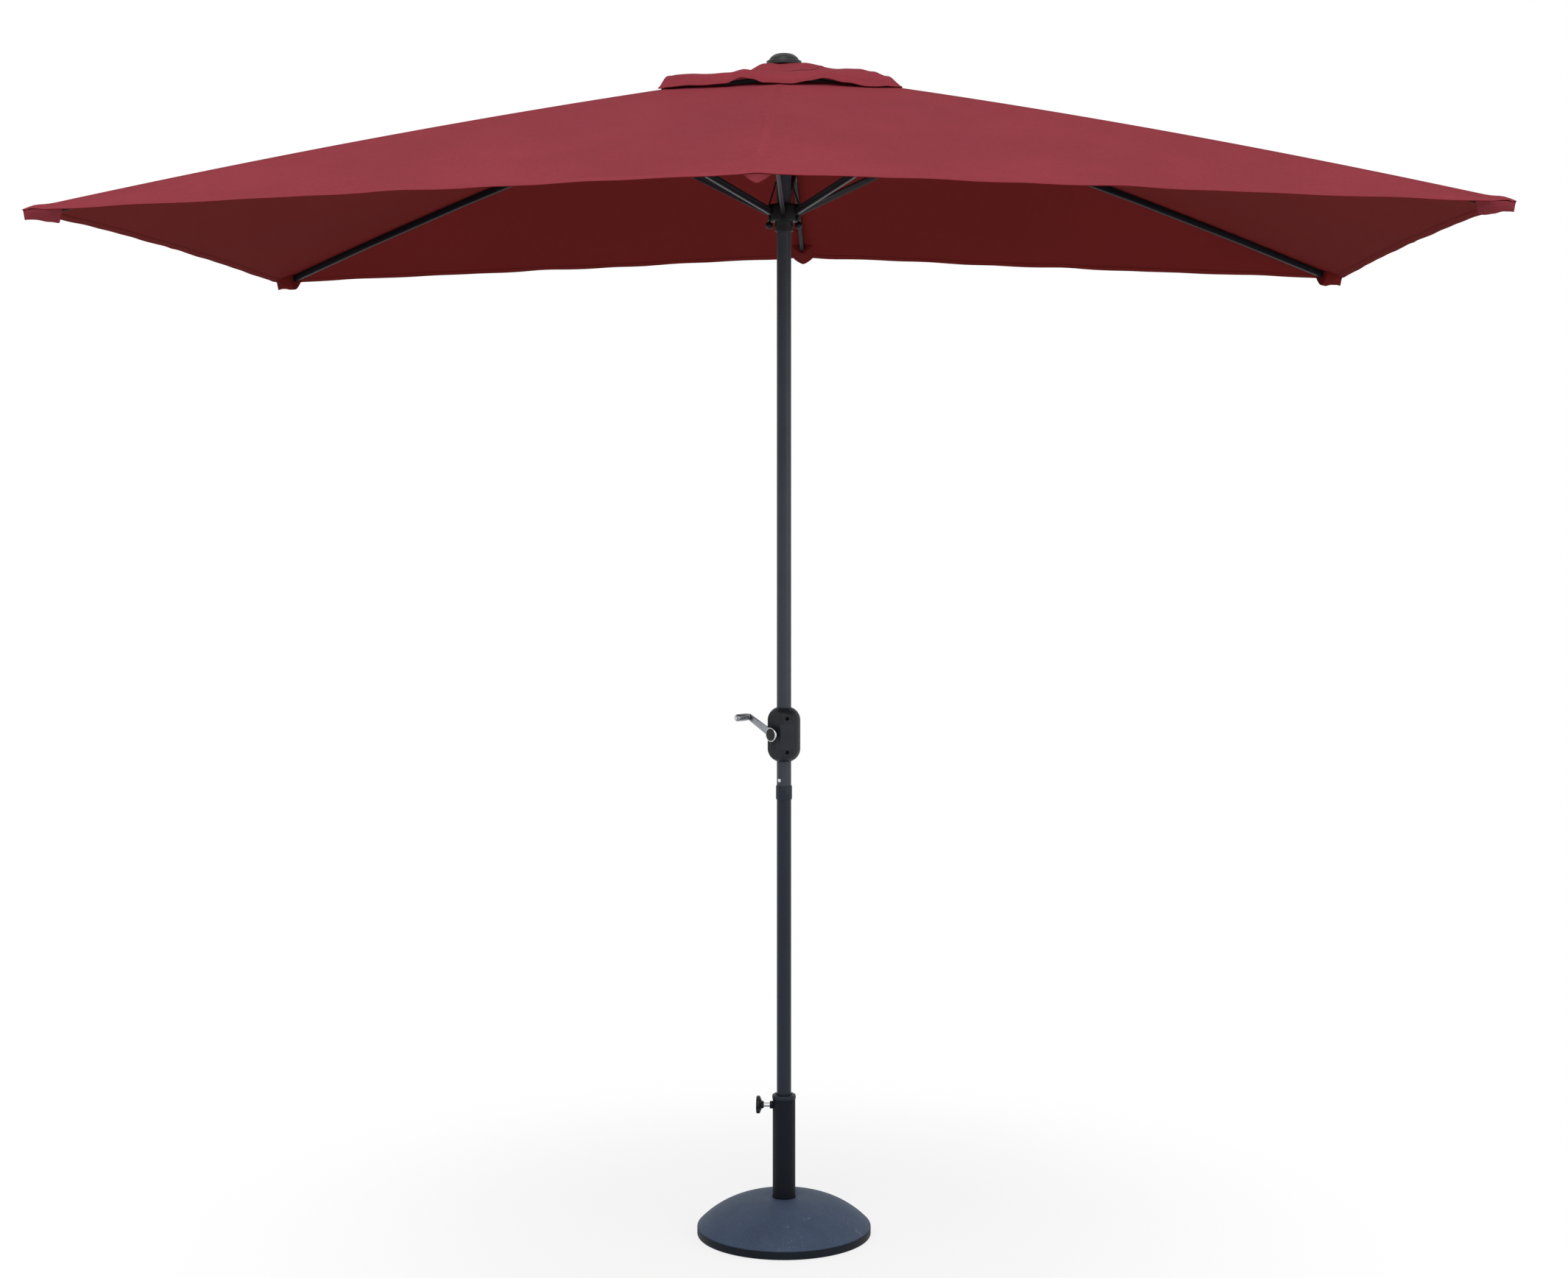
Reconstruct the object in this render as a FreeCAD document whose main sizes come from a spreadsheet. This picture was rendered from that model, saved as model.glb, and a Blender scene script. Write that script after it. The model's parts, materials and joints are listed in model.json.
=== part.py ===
"""A crank-lift market umbrella with a rectangular canopy on six ribs, standing in a round weighted base.

Every driving size is a cell of the Sizes sheet.  The frame has its origin under the centre of the base,
on the pole's axis, with +Z up, X along the canopy's long side and the front towards -Y.
"""

import FreeCAD, Part
import math
import os
import re
import Sketcher

Vector = FreeCAD.Vector
Rotation = FreeCAD.Rotation
UP = Vector(0, 0, 1)
ORIGIN = Vector(0, 0, 0)

# ---------------------------------------------------------------- driving sizes, in millimetres and degrees
SIZES = {
    # how far a cutting tool runs past the piece it cuts
    "overshoot": 2,
    # canopy and frame
    "canopy_length": 3000,
    "canopy_width": 2000,
    "corner_drop": 408,
    "middle_drop": 342,
    "fabric_thickness": 1.2,
    "corner_fabric_gap": 0.1,
    "middle_fabric_gap": 0.6,
    "seam_gap": 0.8,
    "side_hem_rise": 12,
    "panel_bow": 8,
    "vent_length": 440,
    "cap_length": 570,
    "cap_hem_drop": 28,
    "cap_top_rise": 35,
    "cap_top_length": 100,
    "cap_top_width": 66,
    "rib_height": 16,
    "rib_width": 10,
    "rib_wall": 1,
    "rib_inset": 20,
    "rib_heel": 9,
    "corner_bow": 17,
    "middle_bow": 10,
    "bracket_length": 34,
    "bracket_cheek": 2,
    "bracket_web": 2,
    "strut_height": 16,
    "strut_width": 9.6,
    "pin_radius": 3,
    "pin_play": 0.08,
    "side_play": 0.25,
    "strut_web_gap": 0.9,
    "closed_angle": 85,
    # top hub, cap and finial
    "hub_edge": 10,
    "hub_pivot_stand": 18.5,
    "hub_pivot_height": 2780,
    "hub_below": 20,
    "hub_above": 17,
    "hub_core_wall": 6,
    "hub_roof": 4,
    "hub_pin_length": 22,
    "plug_flange": 6.5,
    "plug_depth": 40,
    "finial_radius": 42.5,
    "finial_edge": 11,
    "finial_tier_step": 7.5,
    "finial_tier_height": 8,
    "finial_dome": 9,
    "stud_radius": 4,
    "stud_length": 44,
    # pole
    "pole_radius": 17.5,
    "pole_wall": 1.5,
    "pole_foot_clearance": 3,
    "pole_foot_disc": 4,
    "joint_height": 1064,
    "slip": 0.1,
    "collar_wall": 2.1,
    "collar_below": 18,
    "collar_above": 16,
    "joiner_length": 150,
    "joiner_wall": 1.5,
    # runner and lift cord
    "runner_edge": 4.2,
    "runner_core_wall": 5.5,
    "runner_collar_wall": 4.5,
    "runner_pivot_stand": 17.5,
    "runner_drop": 320,
    "runner_above": 20,
    "runner_below": 21,
    "runner_collar_length": 25,
    "runner_play": 0.4,
    "runner_travel": 640,
    "cord_radius": 2,
    "cord_hole_radius": 2.4,
    "cord_anchor_inset": 3.7,
    "cord_exit_rise": 70,
    "cord_lip": 2.2,
    "cord_spacing": 10,
    "cord_drop": 8,
    "cord_knee_rise": 14,
    "cord_hole_margin": 1.5,
    "grommet_wall": 0.9,
    "grommet_edge": 0.4,
    "bead_radius": 9,
    # crank and its housing
    "housing_radius": 39.5,
    "housing_height": 129,
    "housing_rise": 139,
    "housing_shoulder": 31,
    "housing_bulge": 6,
    "housing_wall": 2.6,
    "housing_front_angle": 285,
    "housing_front_cut": 4,
    "crank_angle": 228,
    "crank_cut": 10.5,
    "crank_rise": 2,
    "screw_spread": 81,
    "screw_radius": 2,
    "screw_head_radius": 3.8,
    "screw_head": 3,
    "screw_seat_depth": 6.5,
    "screw_tip": 1,
    "boss_radius": 6,
    "boss_bore": 4.6,
    "drum_radius": 11,
    "drum_length": 20,
    "shaft_radius": 5,
    "rear_journal_radius": 4,
    "bush_radius": 11.4,
    "rear_bush_radius": 7.9,
    "bush_length": 6.5,
    "bush_depth": 3,
    "shaft_end": 1,
    "neck_gap": 0.3,
    "journal_play": 0.06,
    "crank_neck_radius": 10,
    "crank_disc_radius": 17,
    "crank_disc_thickness": 5,
    "crank_disc_stand": 17,
    "crank_disc_recess": 1.2,
    "crank_disc_rim": 2.2,
    "crank_web": 1.9,
    "crank_step": 2,
    "arm_length": 88,
    "arm_lift_angle": 25,
    "arm_thickness": 3.5,
    "arm_root_width": 20,
    "arm_end_width": 15,
    "grip_radius": 9,
    "grip_length": 42,
    "grip_pin_radius": 3,
    "grip_gap": 0.3,
    "grip_end_gap": 0.8,
    "grip_pin_head": 1.6,
    "grip_pin_foot": 1.4,
    "grip_pin_flange": 2,
    # snap button
    "button_radius": 4.5,
    "button_rise": 29,
    "button_angle": 236,
    "button_stand": 2.7,
    "button_flange_radius": 6,
    "button_flange": 2,
    "button_flange_gap": 1.5,
    "button_hole_play": 0.2,
    "spring_strip": 0.8,
    "spring_width": 8,
    "spring_drop": 60,
    "spring_rise": 6,
    "spring_bend": 8,
    # base
    "foot_radius": 20,
    "foot_height": 1.5,
    "foot_ring_radius": 175,
    "base_radius": 209,
    "rim_height": 19.5,
    "dome_height": 88.5,
    "dome_bulge": 22,
    "socket_floor": 22,
    "head_recess_radius": 13,
    "head_recess": 8,
    "bolt_radius": 5,
    "bolt_head_radius": 9.5,
    "bolt_head": 6,
    "nut_height": 8,
    "bolt_end": 1,
    "tube_radius": 27.5,
    "tube_wall": 1.5,
    "tube_floor": 6,
    "tube_top": 326,
    "lip_overhang": 1.1,
    "lip_height": 9,
    "lip_bulge": 1.2,
    "lip_shoulder": 2.6,
    "mouth_width": 3.2,
    "mouth_depth": 4.5,
    "liner_depth": 60,
    "liner_play": 0.4,
    "shelf_bore": 12,
    "lower_bush_rise": 24,
    # clamp
    "clamp_drop": 17,
    "clamp_boss_radius": 9,
    "clamp_boss_stand": 6.5,
    "boss_gap": 0.01,
    "clamp_screw_radius": 5,
    "clamp_screw_play": 0.08,
    "clamp_tip_gap": 0.3,
    "knob_radius": 21,
    "knob_rim": 9,
    "knob_length": 17.6,
    "knob_neck_radius": 8,
    "knob_stand": 32.6,
    "knob_lobes": 5,
    "knob_scallop_radius": 9,
    "knob_scallop_place": 27,
    "knob_socket": 13,
    "clamp_screw_end": 0.5,
}

# places that follow from the driving sizes
PLACES = {
    "corner_height": "hub_pivot_height - corner_drop",
    "middle_height": "hub_pivot_height - middle_drop",
    "canopy_half_diagonal": "sqrt(canopy_length^2 + canopy_width^2) / 2",
    # how far the cloth falls from a corner ridge to the edge of the rib under it
    "corner_edge_fall": "rib_width / canopy_width * corner_drop * canopy_length / 2 / canopy_half_diagonal",
    "corner_fabric_rise": "rib_height / 2 + fabric_thickness + corner_fabric_gap + corner_edge_fall",
    "middle_fabric_rise": "rib_height / 2 + fabric_thickness + middle_fabric_gap",
    "vent_width": "vent_length * canopy_width / canopy_length",
    "cap_width": "cap_length * canopy_width / canopy_length",
    "cap_hem_height": "hub_pivot_height - cap_hem_drop",
    "cap_top_height": "hub_pivot_height + cap_top_rise",
    "strut_pin_drop": "rib_height / 2 + slip + bracket_web + strut_web_gap + strut_height / 2",
    "hub_pivot_radius": "pole_radius + hub_pivot_stand",
    "hub_radius": "hub_pivot_radius + hub_edge",
    "hub_core_radius": "pole_radius + hub_core_wall",
    "plug_flange_radius": "pole_radius + plug_flange",
    "finial_tier_radius": "finial_radius - finial_tier_step",
    "pole_foot_height": "socket_floor + tube_floor + nut_height + bolt_end + pole_foot_clearance",
    "collar_radius": "pole_radius + collar_wall",
    "runner_pivot_radius": "pole_radius + runner_pivot_stand",
    "runner_radius": "runner_pivot_radius + runner_edge",
    "runner_core_radius": "pole_radius + runner_core_wall",
    "runner_collar_radius": "pole_radius + runner_collar_wall",
    "runner_pivot_height": "hub_pivot_height - runner_drop",
    "cord_anchor_radius": "runner_radius - cord_anchor_inset",
    "cord_exit_height": "runner_pivot_height + cord_exit_rise",
    "housing_middle": "joint_height + housing_rise",
    "housing_front_flat": "housing_radius - housing_front_cut",
    "crank_flat": "housing_radius - crank_cut",
    "crank_height": "housing_middle + crank_rise",
    "screw_seat": "pole_radius + screw_seat_depth",
    "crank_disc_reach": "crank_flat + crank_disc_stand",
    "button_height": "joint_height + button_rise",
    "button_reach": "pole_radius + button_stand",
    "button_flange_seat": "pole_radius - pole_wall - joiner_wall - 2 * slip - button_flange_gap",
    "lip_radius": "tube_radius + lip_overhang",
    "clamp_height": "tube_top - clamp_drop",
    "clamp_boss_reach": "tube_radius + clamp_boss_stand",
    "knob_reach": "clamp_boss_reach + knob_stand",
}

RIBS = {
    "front_left": (-1, -1),
    "front_middle": (0, -1),
    "front_right": (1, -1),
    "rear_right": (1, 1),
    "rear_middle": (0, 1),
    "rear_left": (-1, 1),
}

DOC = FreeCAD.newDocument("patio_umbrella")
SHEET = DOC.addObject("Spreadsheet::Sheet", "Sizes")
ALIASES = set()
PARTS = []


def store(alias, value):
    """Puts one value in the sheet under its alias."""
    row = len(ALIASES) + 1
    SHEET.set(f"A{row}", alias.replace("_", " "))
    SHEET.set(f"B{row}", str(value))
    SHEET.setAlias(f"B{row}", alias)
    ALIASES.add(alias)


def bound(text):
    """The expression with each alias written as a cell of the sheet."""
    return re.sub(r"[a-z_]+", lambda m: f"Sizes.{m[0]}" if m[0] in ALIASES else m[0], str(text))


def size(text):
    """The value of an expression of the sheet's aliases."""
    return float(SHEET.evalExpression(bound(text)))


def around(angle, point=ORIGIN):
    """A placement turned about the pole's axis, its own origin first moved to the point."""
    turn = Rotation(UP, angle)
    return FreeCAD.Placement(turn.multVec(point), turn)


def rib_geometry(reach, height, rise, bow):
    """Lengths and angles of one kind of rib and its strut.

    The strut pin's place along the rib and the strut's length make the same runner travel close both kinds.
    """
    hub = (size("hub_pivot_radius"), size("hub_pivot_height"))
    along = reach - size("rib_inset") - hub[0]
    drop = hub[1] - (height - rise + size("rib_inset") * (hub[1] - height) / reach)
    length = math.hypot(along, drop)
    angle = math.atan2(drop, along)
    closed = math.radians(size("closed_angle"))
    inward = hub[0] - size("runner_pivot_radius")
    upper = hub[1] - size("runner_pivot_height")
    lower = upper + size("runner_travel")
    below = size("strut_pin_drop")
    pin = length / 3
    for _ in range(40):
        lean = math.atan2(below, pin)
        one, two = angle + lean, closed + lean
        swing = inward * (math.cos(one) - math.cos(two)) - upper * math.sin(one) + lower * math.sin(two)
        distance = (lower**2 - upper**2) / (2 * swing)
        pin = distance * math.cos(lean)
        below = size("strut_pin_drop") - 4 * bow * (pin / length) * (1 - pin / length)
    lean = math.atan2(below, pin)
    joint = (hub[0] + distance * math.cos(angle + lean), hub[1] - distance * math.sin(angle + lean))
    foot = (size("runner_pivot_radius"), size("runner_pivot_height"))
    shut = (hub[0] + distance * math.cos(closed + lean), hub[1] - distance * math.sin(closed + lean))
    shut_foot = (foot[0], foot[1] - size("runner_travel"))
    return {
        "length": length,
        "angle": math.degrees(angle),
        "pin_along": pin,
        "pin_below": below,
        "strut_length": math.dist(joint, foot),
        "strut_angle": math.degrees(math.atan2(joint[1] - foot[1], joint[0] - foot[0])),
        "strut_closed_angle": math.degrees(math.atan2(shut[1] - shut_foot[1], shut[0] - shut_foot[0])),
        "pin_radius_out": joint[0],
        "pin_height": joint[1],
    }


for alias, value in SIZES.items():
    store(alias, value)
DOC.recompute()
for alias, place in PLACES.items():
    store(alias, size(place))
    DOC.recompute()
KINDS = {
    "corner": rib_geometry(
        size("canopy_half_diagonal"),
        size("corner_height"),
        size("corner_fabric_rise"),
        size("corner_bow"),
    ),
    "middle": rib_geometry(
        size("canopy_width / 2"), size("middle_height"), size("middle_fabric_rise"), size("middle_bow")
    ),
}
for kind, numbers in KINDS.items():
    for name, value in numbers.items():
        store(f"{kind}_{name}", value)
DOC.recompute()


# ---------------------------------------------------------------- building blocks
def link(thing, **expressions):
    """Binds properties of an object to expressions of the sheet."""
    for name, text in expressions.items():
        thing.setExpression(name, bound(text))
    return thing


def body_plane(body, role):
    return next(f for f in body.Origin.OriginFeatures if f.Role == role)


def arc_middle(start, end, bulge):
    """The middle of an arc that stands to the left of start to end by the bulge."""
    across = Vector(start.y - end.y, end.x - start.x, 0).normalize()
    return (start + end) * 0.5 + across * bulge


def outline(body, role, name, corners, bulges=None):
    """A closed sketch on one of the body's own planes; corners are pairs of expressions.

    bulges gives, for the side that leaves a corner, how far it stands out to the left of its chord.
    """
    bulges = bulges or {}
    sketch = body.newObject("Sketcher::SketchObject", name)
    sketch.AttachmentSupport = [(body_plane(body, role), "")]
    sketch.MapMode = "FlatFace"
    points = [Vector(size(x), size(y), 0) for x, y in corners]
    count = len(points)
    ends = []
    for i, start in enumerate(points):
        end = points[(i + 1) % count]
        if i in bulges:
            arc = Part.Arc(start, arc_middle(start, end, size(bulges[i])), end)
            sketch.addGeometry(arc)
            forward = sketch.getPoint(i, 1).distanceToPoint(start) < 1e-6
            ends.append((1, 2) if forward else (2, 1))
        else:
            sketch.addGeometry(Part.LineSegment(start, end))
            ends.append((1, 2))
    for i in range(count):
        after = (i + 1) % count
        sketch.addConstraint(Sketcher.Constraint("Coincident", i, ends[i][1], after, ends[after][0]))
    for i, (x, y) in enumerate(corners):
        for kind, text, value in (("DistanceX", x, points[i].x), ("DistanceY", y, points[i].y)):
            held = sketch.addConstraint(Sketcher.Constraint(kind, -1, 1, i, ends[i][0], value))
            sketch.setExpression(f"Constraints[{held}]", bound(text))
    for i, bulge in bulges.items():
        (x1, y1), (x2, y2) = corners[i], corners[(i + 1) % count]
        chord = f"((({x2}) - ({x1}))^2 + (({y2}) - ({y1}))^2)"
        radius = f"({chord} / 4 + ({bulge})^2) / (2 * abs({bulge}))"
        held = sketch.addConstraint(Sketcher.Constraint("Radius", i, size(radius)))
        sketch.setExpression(f"Constraints[{held}]", bound(radius))
    return sketch


def turned(name, corners, bulges=None):
    """A body turned about its own Z from a half profile of (radius, height) corners."""
    body = DOC.addObject("PartDesign::Body", name)
    sketch = outline(body, "XZ_Plane", f"{name}_profile", corners, bulges)
    turn = body.newObject("PartDesign::Revolution", f"{name}_turn")
    turn.Profile = sketch
    turn.ReferenceAxis = (sketch, ["V_Axis"])
    turn.Angle = 360
    return body


def padded(name, corners, width, bulges=None):
    """A body whose side view lies in its XZ plane, padded evenly to both sides."""
    body = DOC.addObject("PartDesign::Body", name)
    sketch = outline(body, "XZ_Plane", f"{name}_side", corners, bulges)
    pad = body.newObject("PartDesign::Pad", f"{name}_pad")
    pad.Profile = sketch
    pad.Midplane = True
    link(pad, Length=width)
    return body


def rod(name, radius, length, start, direction=UP):
    """A Part cylinder from a point along a direction."""
    cylinder = link(DOC.addObject("Part::Cylinder", name), Radius=radius, Height=length)
    cylinder.Placement = FreeCAD.Placement(start, Rotation(UP, direction))
    return cylinder


def block(name, length, width, height, corner):
    """A Part box with one corner at a point."""
    box = link(DOC.addObject("Part::Box", name), Length=length, Width=width, Height=height)
    box.Placement = FreeCAD.Placement(corner, Rotation())
    return box


def join(kind, name, shapes):
    many = DOC.addObject(kind, name)
    setattr(many, "Links" if kind == "Part::Compound" else "Shapes", shapes)
    return many


def cut(name, base, tools):
    """The base with every tool taken away."""
    made = DOC.addObject("Part::Cut", name)
    made.Base = base
    made.Tool = tools[0] if len(tools) == 1 else join("Part::Compound", f"{name}_tools", tools)
    return made


def common(name, base, tool):
    made = DOC.addObject("Part::Common", name)
    made.Base = base
    made.Tool = tool
    return made


def shaped(name, shape):
    """A feature whose shape is worked out with Part's own functions."""
    made = DOC.addObject("Part::Feature", name)
    made.Shape = shape
    return made


def part(label, thing):
    """Marks an object as one of the umbrella's nodes."""
    thing.Label = label
    PARTS.append(thing)
    return thing


def polar(angle, radius, height=0.0):
    """The point at an angle about the pole, a distance from it and a height."""
    turn = math.radians(angle)
    return Vector(radius * math.cos(turn), radius * math.sin(turn), height)


def rib_azimuth(name):
    across, along = RIBS[name]
    return math.degrees(math.atan2(along * size("canopy_width"), across * size("canopy_length")))


def rib_kind(name):
    return "corner" if RIBS[name][0] else "middle"


# ---------------------------------------------------------------- base
def base_pieces():
    bottom = "foot_height"
    bore = "bolt_radius + slip"
    part(
        "base_weight",
        turned(
            "weight",
            [
                ("head_recess_radius", bottom),
                ("base_radius", bottom),
                ("base_radius", f"{bottom} + rim_height"),
                ("tube_radius + slip", "dome_height"),
                ("tube_radius + slip", "socket_floor"),
                (bore, "socket_floor"),
                (bore, f"{bottom} + head_recess"),
                ("head_recess_radius", f"{bottom} + head_recess"),
            ],
            {2: "-dome_bulge"},
        ),
    )
    feet = [
        rod(f"foot_{k}", "foot_radius", "foot_height", polar(45 + 90 * k, size("foot_ring_radius")))
        for k in range(4)
    ]
    part("base_feet", join("Part::Compound", "feet", feet))
    inner = "tube_radius - tube_wall"
    floor = "socket_floor + tube_floor"
    tube = turned(
        "socket_tube",
        [
            (bore, "socket_floor"),
            ("tube_radius", "socket_floor"),
            ("tube_radius", "tube_top"),
            (inner, "tube_top"),
            (inner, floor),
            (bore, floor),
        ],
    )
    part("base_tube", cut("drilled_tube", tube, [clamp_hole("tube_hole")]))
    head_top = size("foot_height + head_recess")
    head = DOC.addObject("Part::Prism", "bolt_head_hex")
    link(head, Circumradius="bolt_head_radius", Height="bolt_head")
    head.Placement.Base = Vector(0, 0, head_top - size("bolt_head"))
    shank = rod(
        "bolt_shank", "bolt_radius", f"{floor} + nut_height + bolt_end - foot_height - head_recess",
        Vector(0, 0, head_top),
    )
    nut = DOC.addObject("Part::Prism", "nut_hex")
    link(nut, Circumradius="bolt_head_radius", Height="nut_height")
    nut.Placement.Base = Vector(0, 0, size(floor))
    nut_bore = rod("nut_bore", bore, "nut_height", Vector(0, 0, size(floor)))
    bolt = join("Part::MultiFuse", "carriage_bolt", [head, shank])
    part("base_bolt", join("Part::Compound", "bolt_and_nut", [bolt, cut("bored_nut", nut, [nut_bore])]))
    part(
        "tube_lower_bush",
        turned(
            "lower_bush",
            [
                ("shelf_bore", floor),
                (f"{inner} - slip", floor),
                (f"{inner} - slip", "pole_foot_height + lower_bush_rise"),
                ("pole_radius + liner_play", "pole_foot_height + lower_bush_rise"),
                ("pole_radius + liner_play", "pole_foot_height"),
                ("shelf_bore", "pole_foot_height"),
            ],
        ),
    )
    bore = "pole_radius + liner_play"
    ring = turned(
        "top_ring",
        [
            (bore, "tube_top - liner_depth"),
            (f"{inner} - slip", "tube_top - liner_depth"),
            (f"{inner} - slip", "tube_top"),
            ("lip_radius", "tube_top"),
            ("lip_radius", "tube_top + lip_height * 0.55"),
            ("lip_radius - lip_shoulder", "tube_top + lip_height"),
            (f"{bore} + mouth_width", "tube_top + lip_height"),
            (bore, "tube_top + lip_height - mouth_depth"),
        ],
        {4: "-lip_bulge / 2"},
    )
    part("tube_top_ring", cut("drilled_ring", ring, [clamp_hole("ring_hole")]))
    boss = rod(
        "boss_round", "clamp_boss_radius", "clamp_boss_reach - tube_radius / 2",
        Vector(-size("tube_radius / 2"), 0, size("clamp_height")), Vector(-1, 0, 0),
    )
    below = size("clamp_height - clamp_boss_radius - overshoot")
    tall = "2 * (clamp_boss_radius + overshoot)"
    core = rod("boss_core", "tube_radius + boss_gap", tall, Vector(0, 0, below))
    thread = rod(
        "boss_thread", "clamp_screw_radius + clamp_screw_play", "clamp_boss_reach + 5",
        Vector(0, 0, size("clamp_height")), Vector(-1, 0, 0),
    )
    part("clamp_boss", cut("bored_boss", boss, [core, thread]))


def clamp_hole(name):
    """The side hole that the clamp screw passes through."""
    return rod(name, "clamp_screw_radius + clamp_screw_play + slip", "tube_radius + 10",
               Vector(0, 0, size("clamp_height")), Vector(-1, 0, 0))


def clamp_pieces():
    tip = size("pole_radius + clamp_tip_gap")
    long = f"knob_reach - knob_length + knob_socket - {tip} - clamp_screw_end"
    start = Vector(-tip, 0, size("clamp_height"))
    part("clamp_screw", rod("screw", "clamp_screw_radius", long, start, Vector(-1, 0, 0)))
    knob = turned(
        "knob_blank",
        [
            ("0", "0"),
            ("knob_radius - 2", "0"),
            ("knob_radius", "1.5"),
            ("knob_radius", "knob_rim - 1.5"),
            ("knob_radius - 2", "knob_rim"),
            ("knob_neck_radius + 1.5", "knob_rim + 4"),
            ("knob_neck_radius", "knob_length"),
            ("clamp_screw_radius + slip", "knob_length"),
            ("clamp_screw_radius + slip", "knob_length - knob_socket"),
            ("0", "knob_length - knob_socket"),
        ],
    )
    lobes = int(size("knob_lobes"))
    scallops = [
        rod(f"scallop_{k}", "knob_scallop_radius", "knob_length + 4",
            polar(360 * k / lobes, size("knob_scallop_place"), -2))
        for k in range(lobes)
    ]
    made = part("clamp_knob", cut("lobed_knob", knob, scallops))
    made.Placement = FreeCAD.Placement(
        Vector(-size("knob_reach"), 0, size("clamp_height")), Rotation(UP, Vector(1, 0, 0))
    )


# ---------------------------------------------------------------- pole
def tube(name, bottom, top, outer, inner):
    return turned(name, [(inner, bottom), (outer, bottom), (outer, top), (inner, top)])


def pole_pieces():
    inner = "pole_radius - pole_wall"
    foot = "pole_foot_height + pole_foot_disc"
    part("lower_pole", tube("lower_tube", foot, "joint_height", "pole_radius", inner))
    part(
        "pole_foot_plug",
        turned(
            "foot_plug",
            [
                ("0", "pole_foot_height"),
                ("pole_radius", "pole_foot_height"),
                ("pole_radius", foot),
                (f"{inner} - slip / 2", foot),
                (f"{inner} - slip / 2", f"{foot} + plug_depth"),
                ("0", f"{foot} + plug_depth"),
            ],
        ),
    )
    part(
        "pole_collar",
        turned(
            "collar",
            [
                ("pole_radius + slip / 2", "joint_height - collar_below"),
                ("collar_radius - 1", "joint_height - collar_below"),
                ("collar_radius", "joint_height - collar_below + 1.5"),
                ("collar_radius", "joint_height + collar_above - 2.5"),
                ("collar_radius - 1.2", "joint_height + collar_above"),
                ("pole_radius + slip / 2", "joint_height + collar_above"),
            ],
        ),
    )
    joiner = tube(
        "joiner_tube", "joint_height - joiner_length / 2", "joint_height + joiner_length / 2",
        f"{inner} - slip", f"{inner} - slip - joiner_wall",
    )
    part("pole_joiner", cut("drilled_joiner", joiner, [button_hole("joiner_hole")]))
    upper = tube("upper_tube", "joint_height", "hub_pivot_height + hub_above", "pole_radius", inner)
    middle = Vector(0, 0, size("crank_height"))
    crank = polar(size("crank_angle"), 1)
    holes = [
        button_hole("pole_button_hole"),
        rod("front_bush_hole", "bush_radius + slip", "pole_radius + 5", middle, crank),
        rod("rear_bush_hole", "rear_bush_radius + slip", "pole_radius + 5", middle, crank * -1),
    ]
    holes += [
        rod(f"cord_hole_{k}", "cord_radius + cord_hole_margin", "pole_radius + 5",
            Vector(0, 0, size("cord_exit_height + cord_lip + cord_radius")), Vector(side, 0, 0))
        for k, side in enumerate((-1, 1))
    ]
    for k, (angle, height) in enumerate(screw_places()):
        holes.append(rod(f"pole_screw_hole_{k}", "screw_radius + slip", "pole_radius + 5",
                         Vector(0, 0, height), polar(angle, 1)))
    part("upper_pole", cut("drilled_pole", upper, holes))
    top = "hub_pivot_height + hub_above"
    part(
        "pole_top_plug",
        turned(
            "top_plug",
            [
                ("stud_radius + slip / 2", f"{top} - plug_depth"),
                (f"{inner} - slip / 2", f"{top} - plug_depth"),
                (f"{inner} - slip / 2", top),
                ("plug_flange_radius", top),
                ("plug_flange_radius", "cap_top_height - fabric_thickness - slip"),
                ("stud_radius + slip / 2", "cap_top_height - fabric_thickness - slip"),
            ],
        ),
    )


def button_hole(name):
    return rod(name, "button_radius + button_hole_play", "pole_radius + 5",
               Vector(0, 0, size("button_height")), polar(size("button_angle"), 1))


def snap_button_pieces():
    """The sprung button that locks the two pole sections, and the bent strip behind it."""
    angle = size("button_angle")
    button = turned(
        "button",
        [
            ("0", "button_flange_seat - button_flange"),
            ("button_flange_radius", "button_flange_seat - button_flange"),
            ("button_flange_radius", "button_flange_seat"),
            ("button_radius", "button_flange_seat"),
            ("button_radius", "button_reach - 1.2"),
            ("button_radius / 5", "button_reach"),
            ("0", "button_reach"),
        ],
        {4: "-0.3"},
    )
    part("snap_button", button)
    button.Placement = FreeCAD.Placement(
        Vector(0, 0, size("button_height")), Rotation(UP, polar(angle, 1))
    )
    back = "button_flange_seat - button_flange - slip"
    far = "-(pole_radius - pole_wall - 2 * slip - joiner_wall) + 1"
    spring = padded(
        "button_strip",
        [
            (f"{back} - spring_strip", "spring_rise"),
            (f"{back} - spring_strip", "-spring_rise"),
            ("0", "-spring_drop"),
            (far, "-spring_rise"),
            (far, "spring_rise"),
            (f"{far} + spring_strip", "spring_rise"),
            (f"{far} + spring_strip", "-spring_rise"),
            ("0", "-spring_drop + spring_bend"),
            (f"{back} - 2 * spring_strip", "-spring_rise + spring_strip"),
            (f"{back} - 2 * spring_strip", "spring_rise"),
        ],
        "spring_width",
    )
    part("button_spring", spring)
    spring.Placement = around(angle, Vector(size("spring_strip"), 0, size("button_height")))


# ---------------------------------------------------------------- crank housing
HOUSING_TOOL_BOTTOM = "housing_middle - housing_height / 2 - overshoot"
HOUSING_TOOL_HEIGHT = "housing_height + 2 * overshoot"


def housing_block(name, depth):
    """A cutting block as wide as the housing twice over and a little taller."""
    return block(name, depth, "4 * housing_radius", HOUSING_TOOL_HEIGHT, ORIGIN)


def screw_places():
    """Angle and height of each screw that holds a housing shell to the pole."""
    front = size("housing_front_angle")
    heights = [size("housing_middle") + side * size("screw_spread") / 2 for side in (-1, 1)]
    return [(front + turn, height) for turn in (0, 180) for height in heights]


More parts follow.
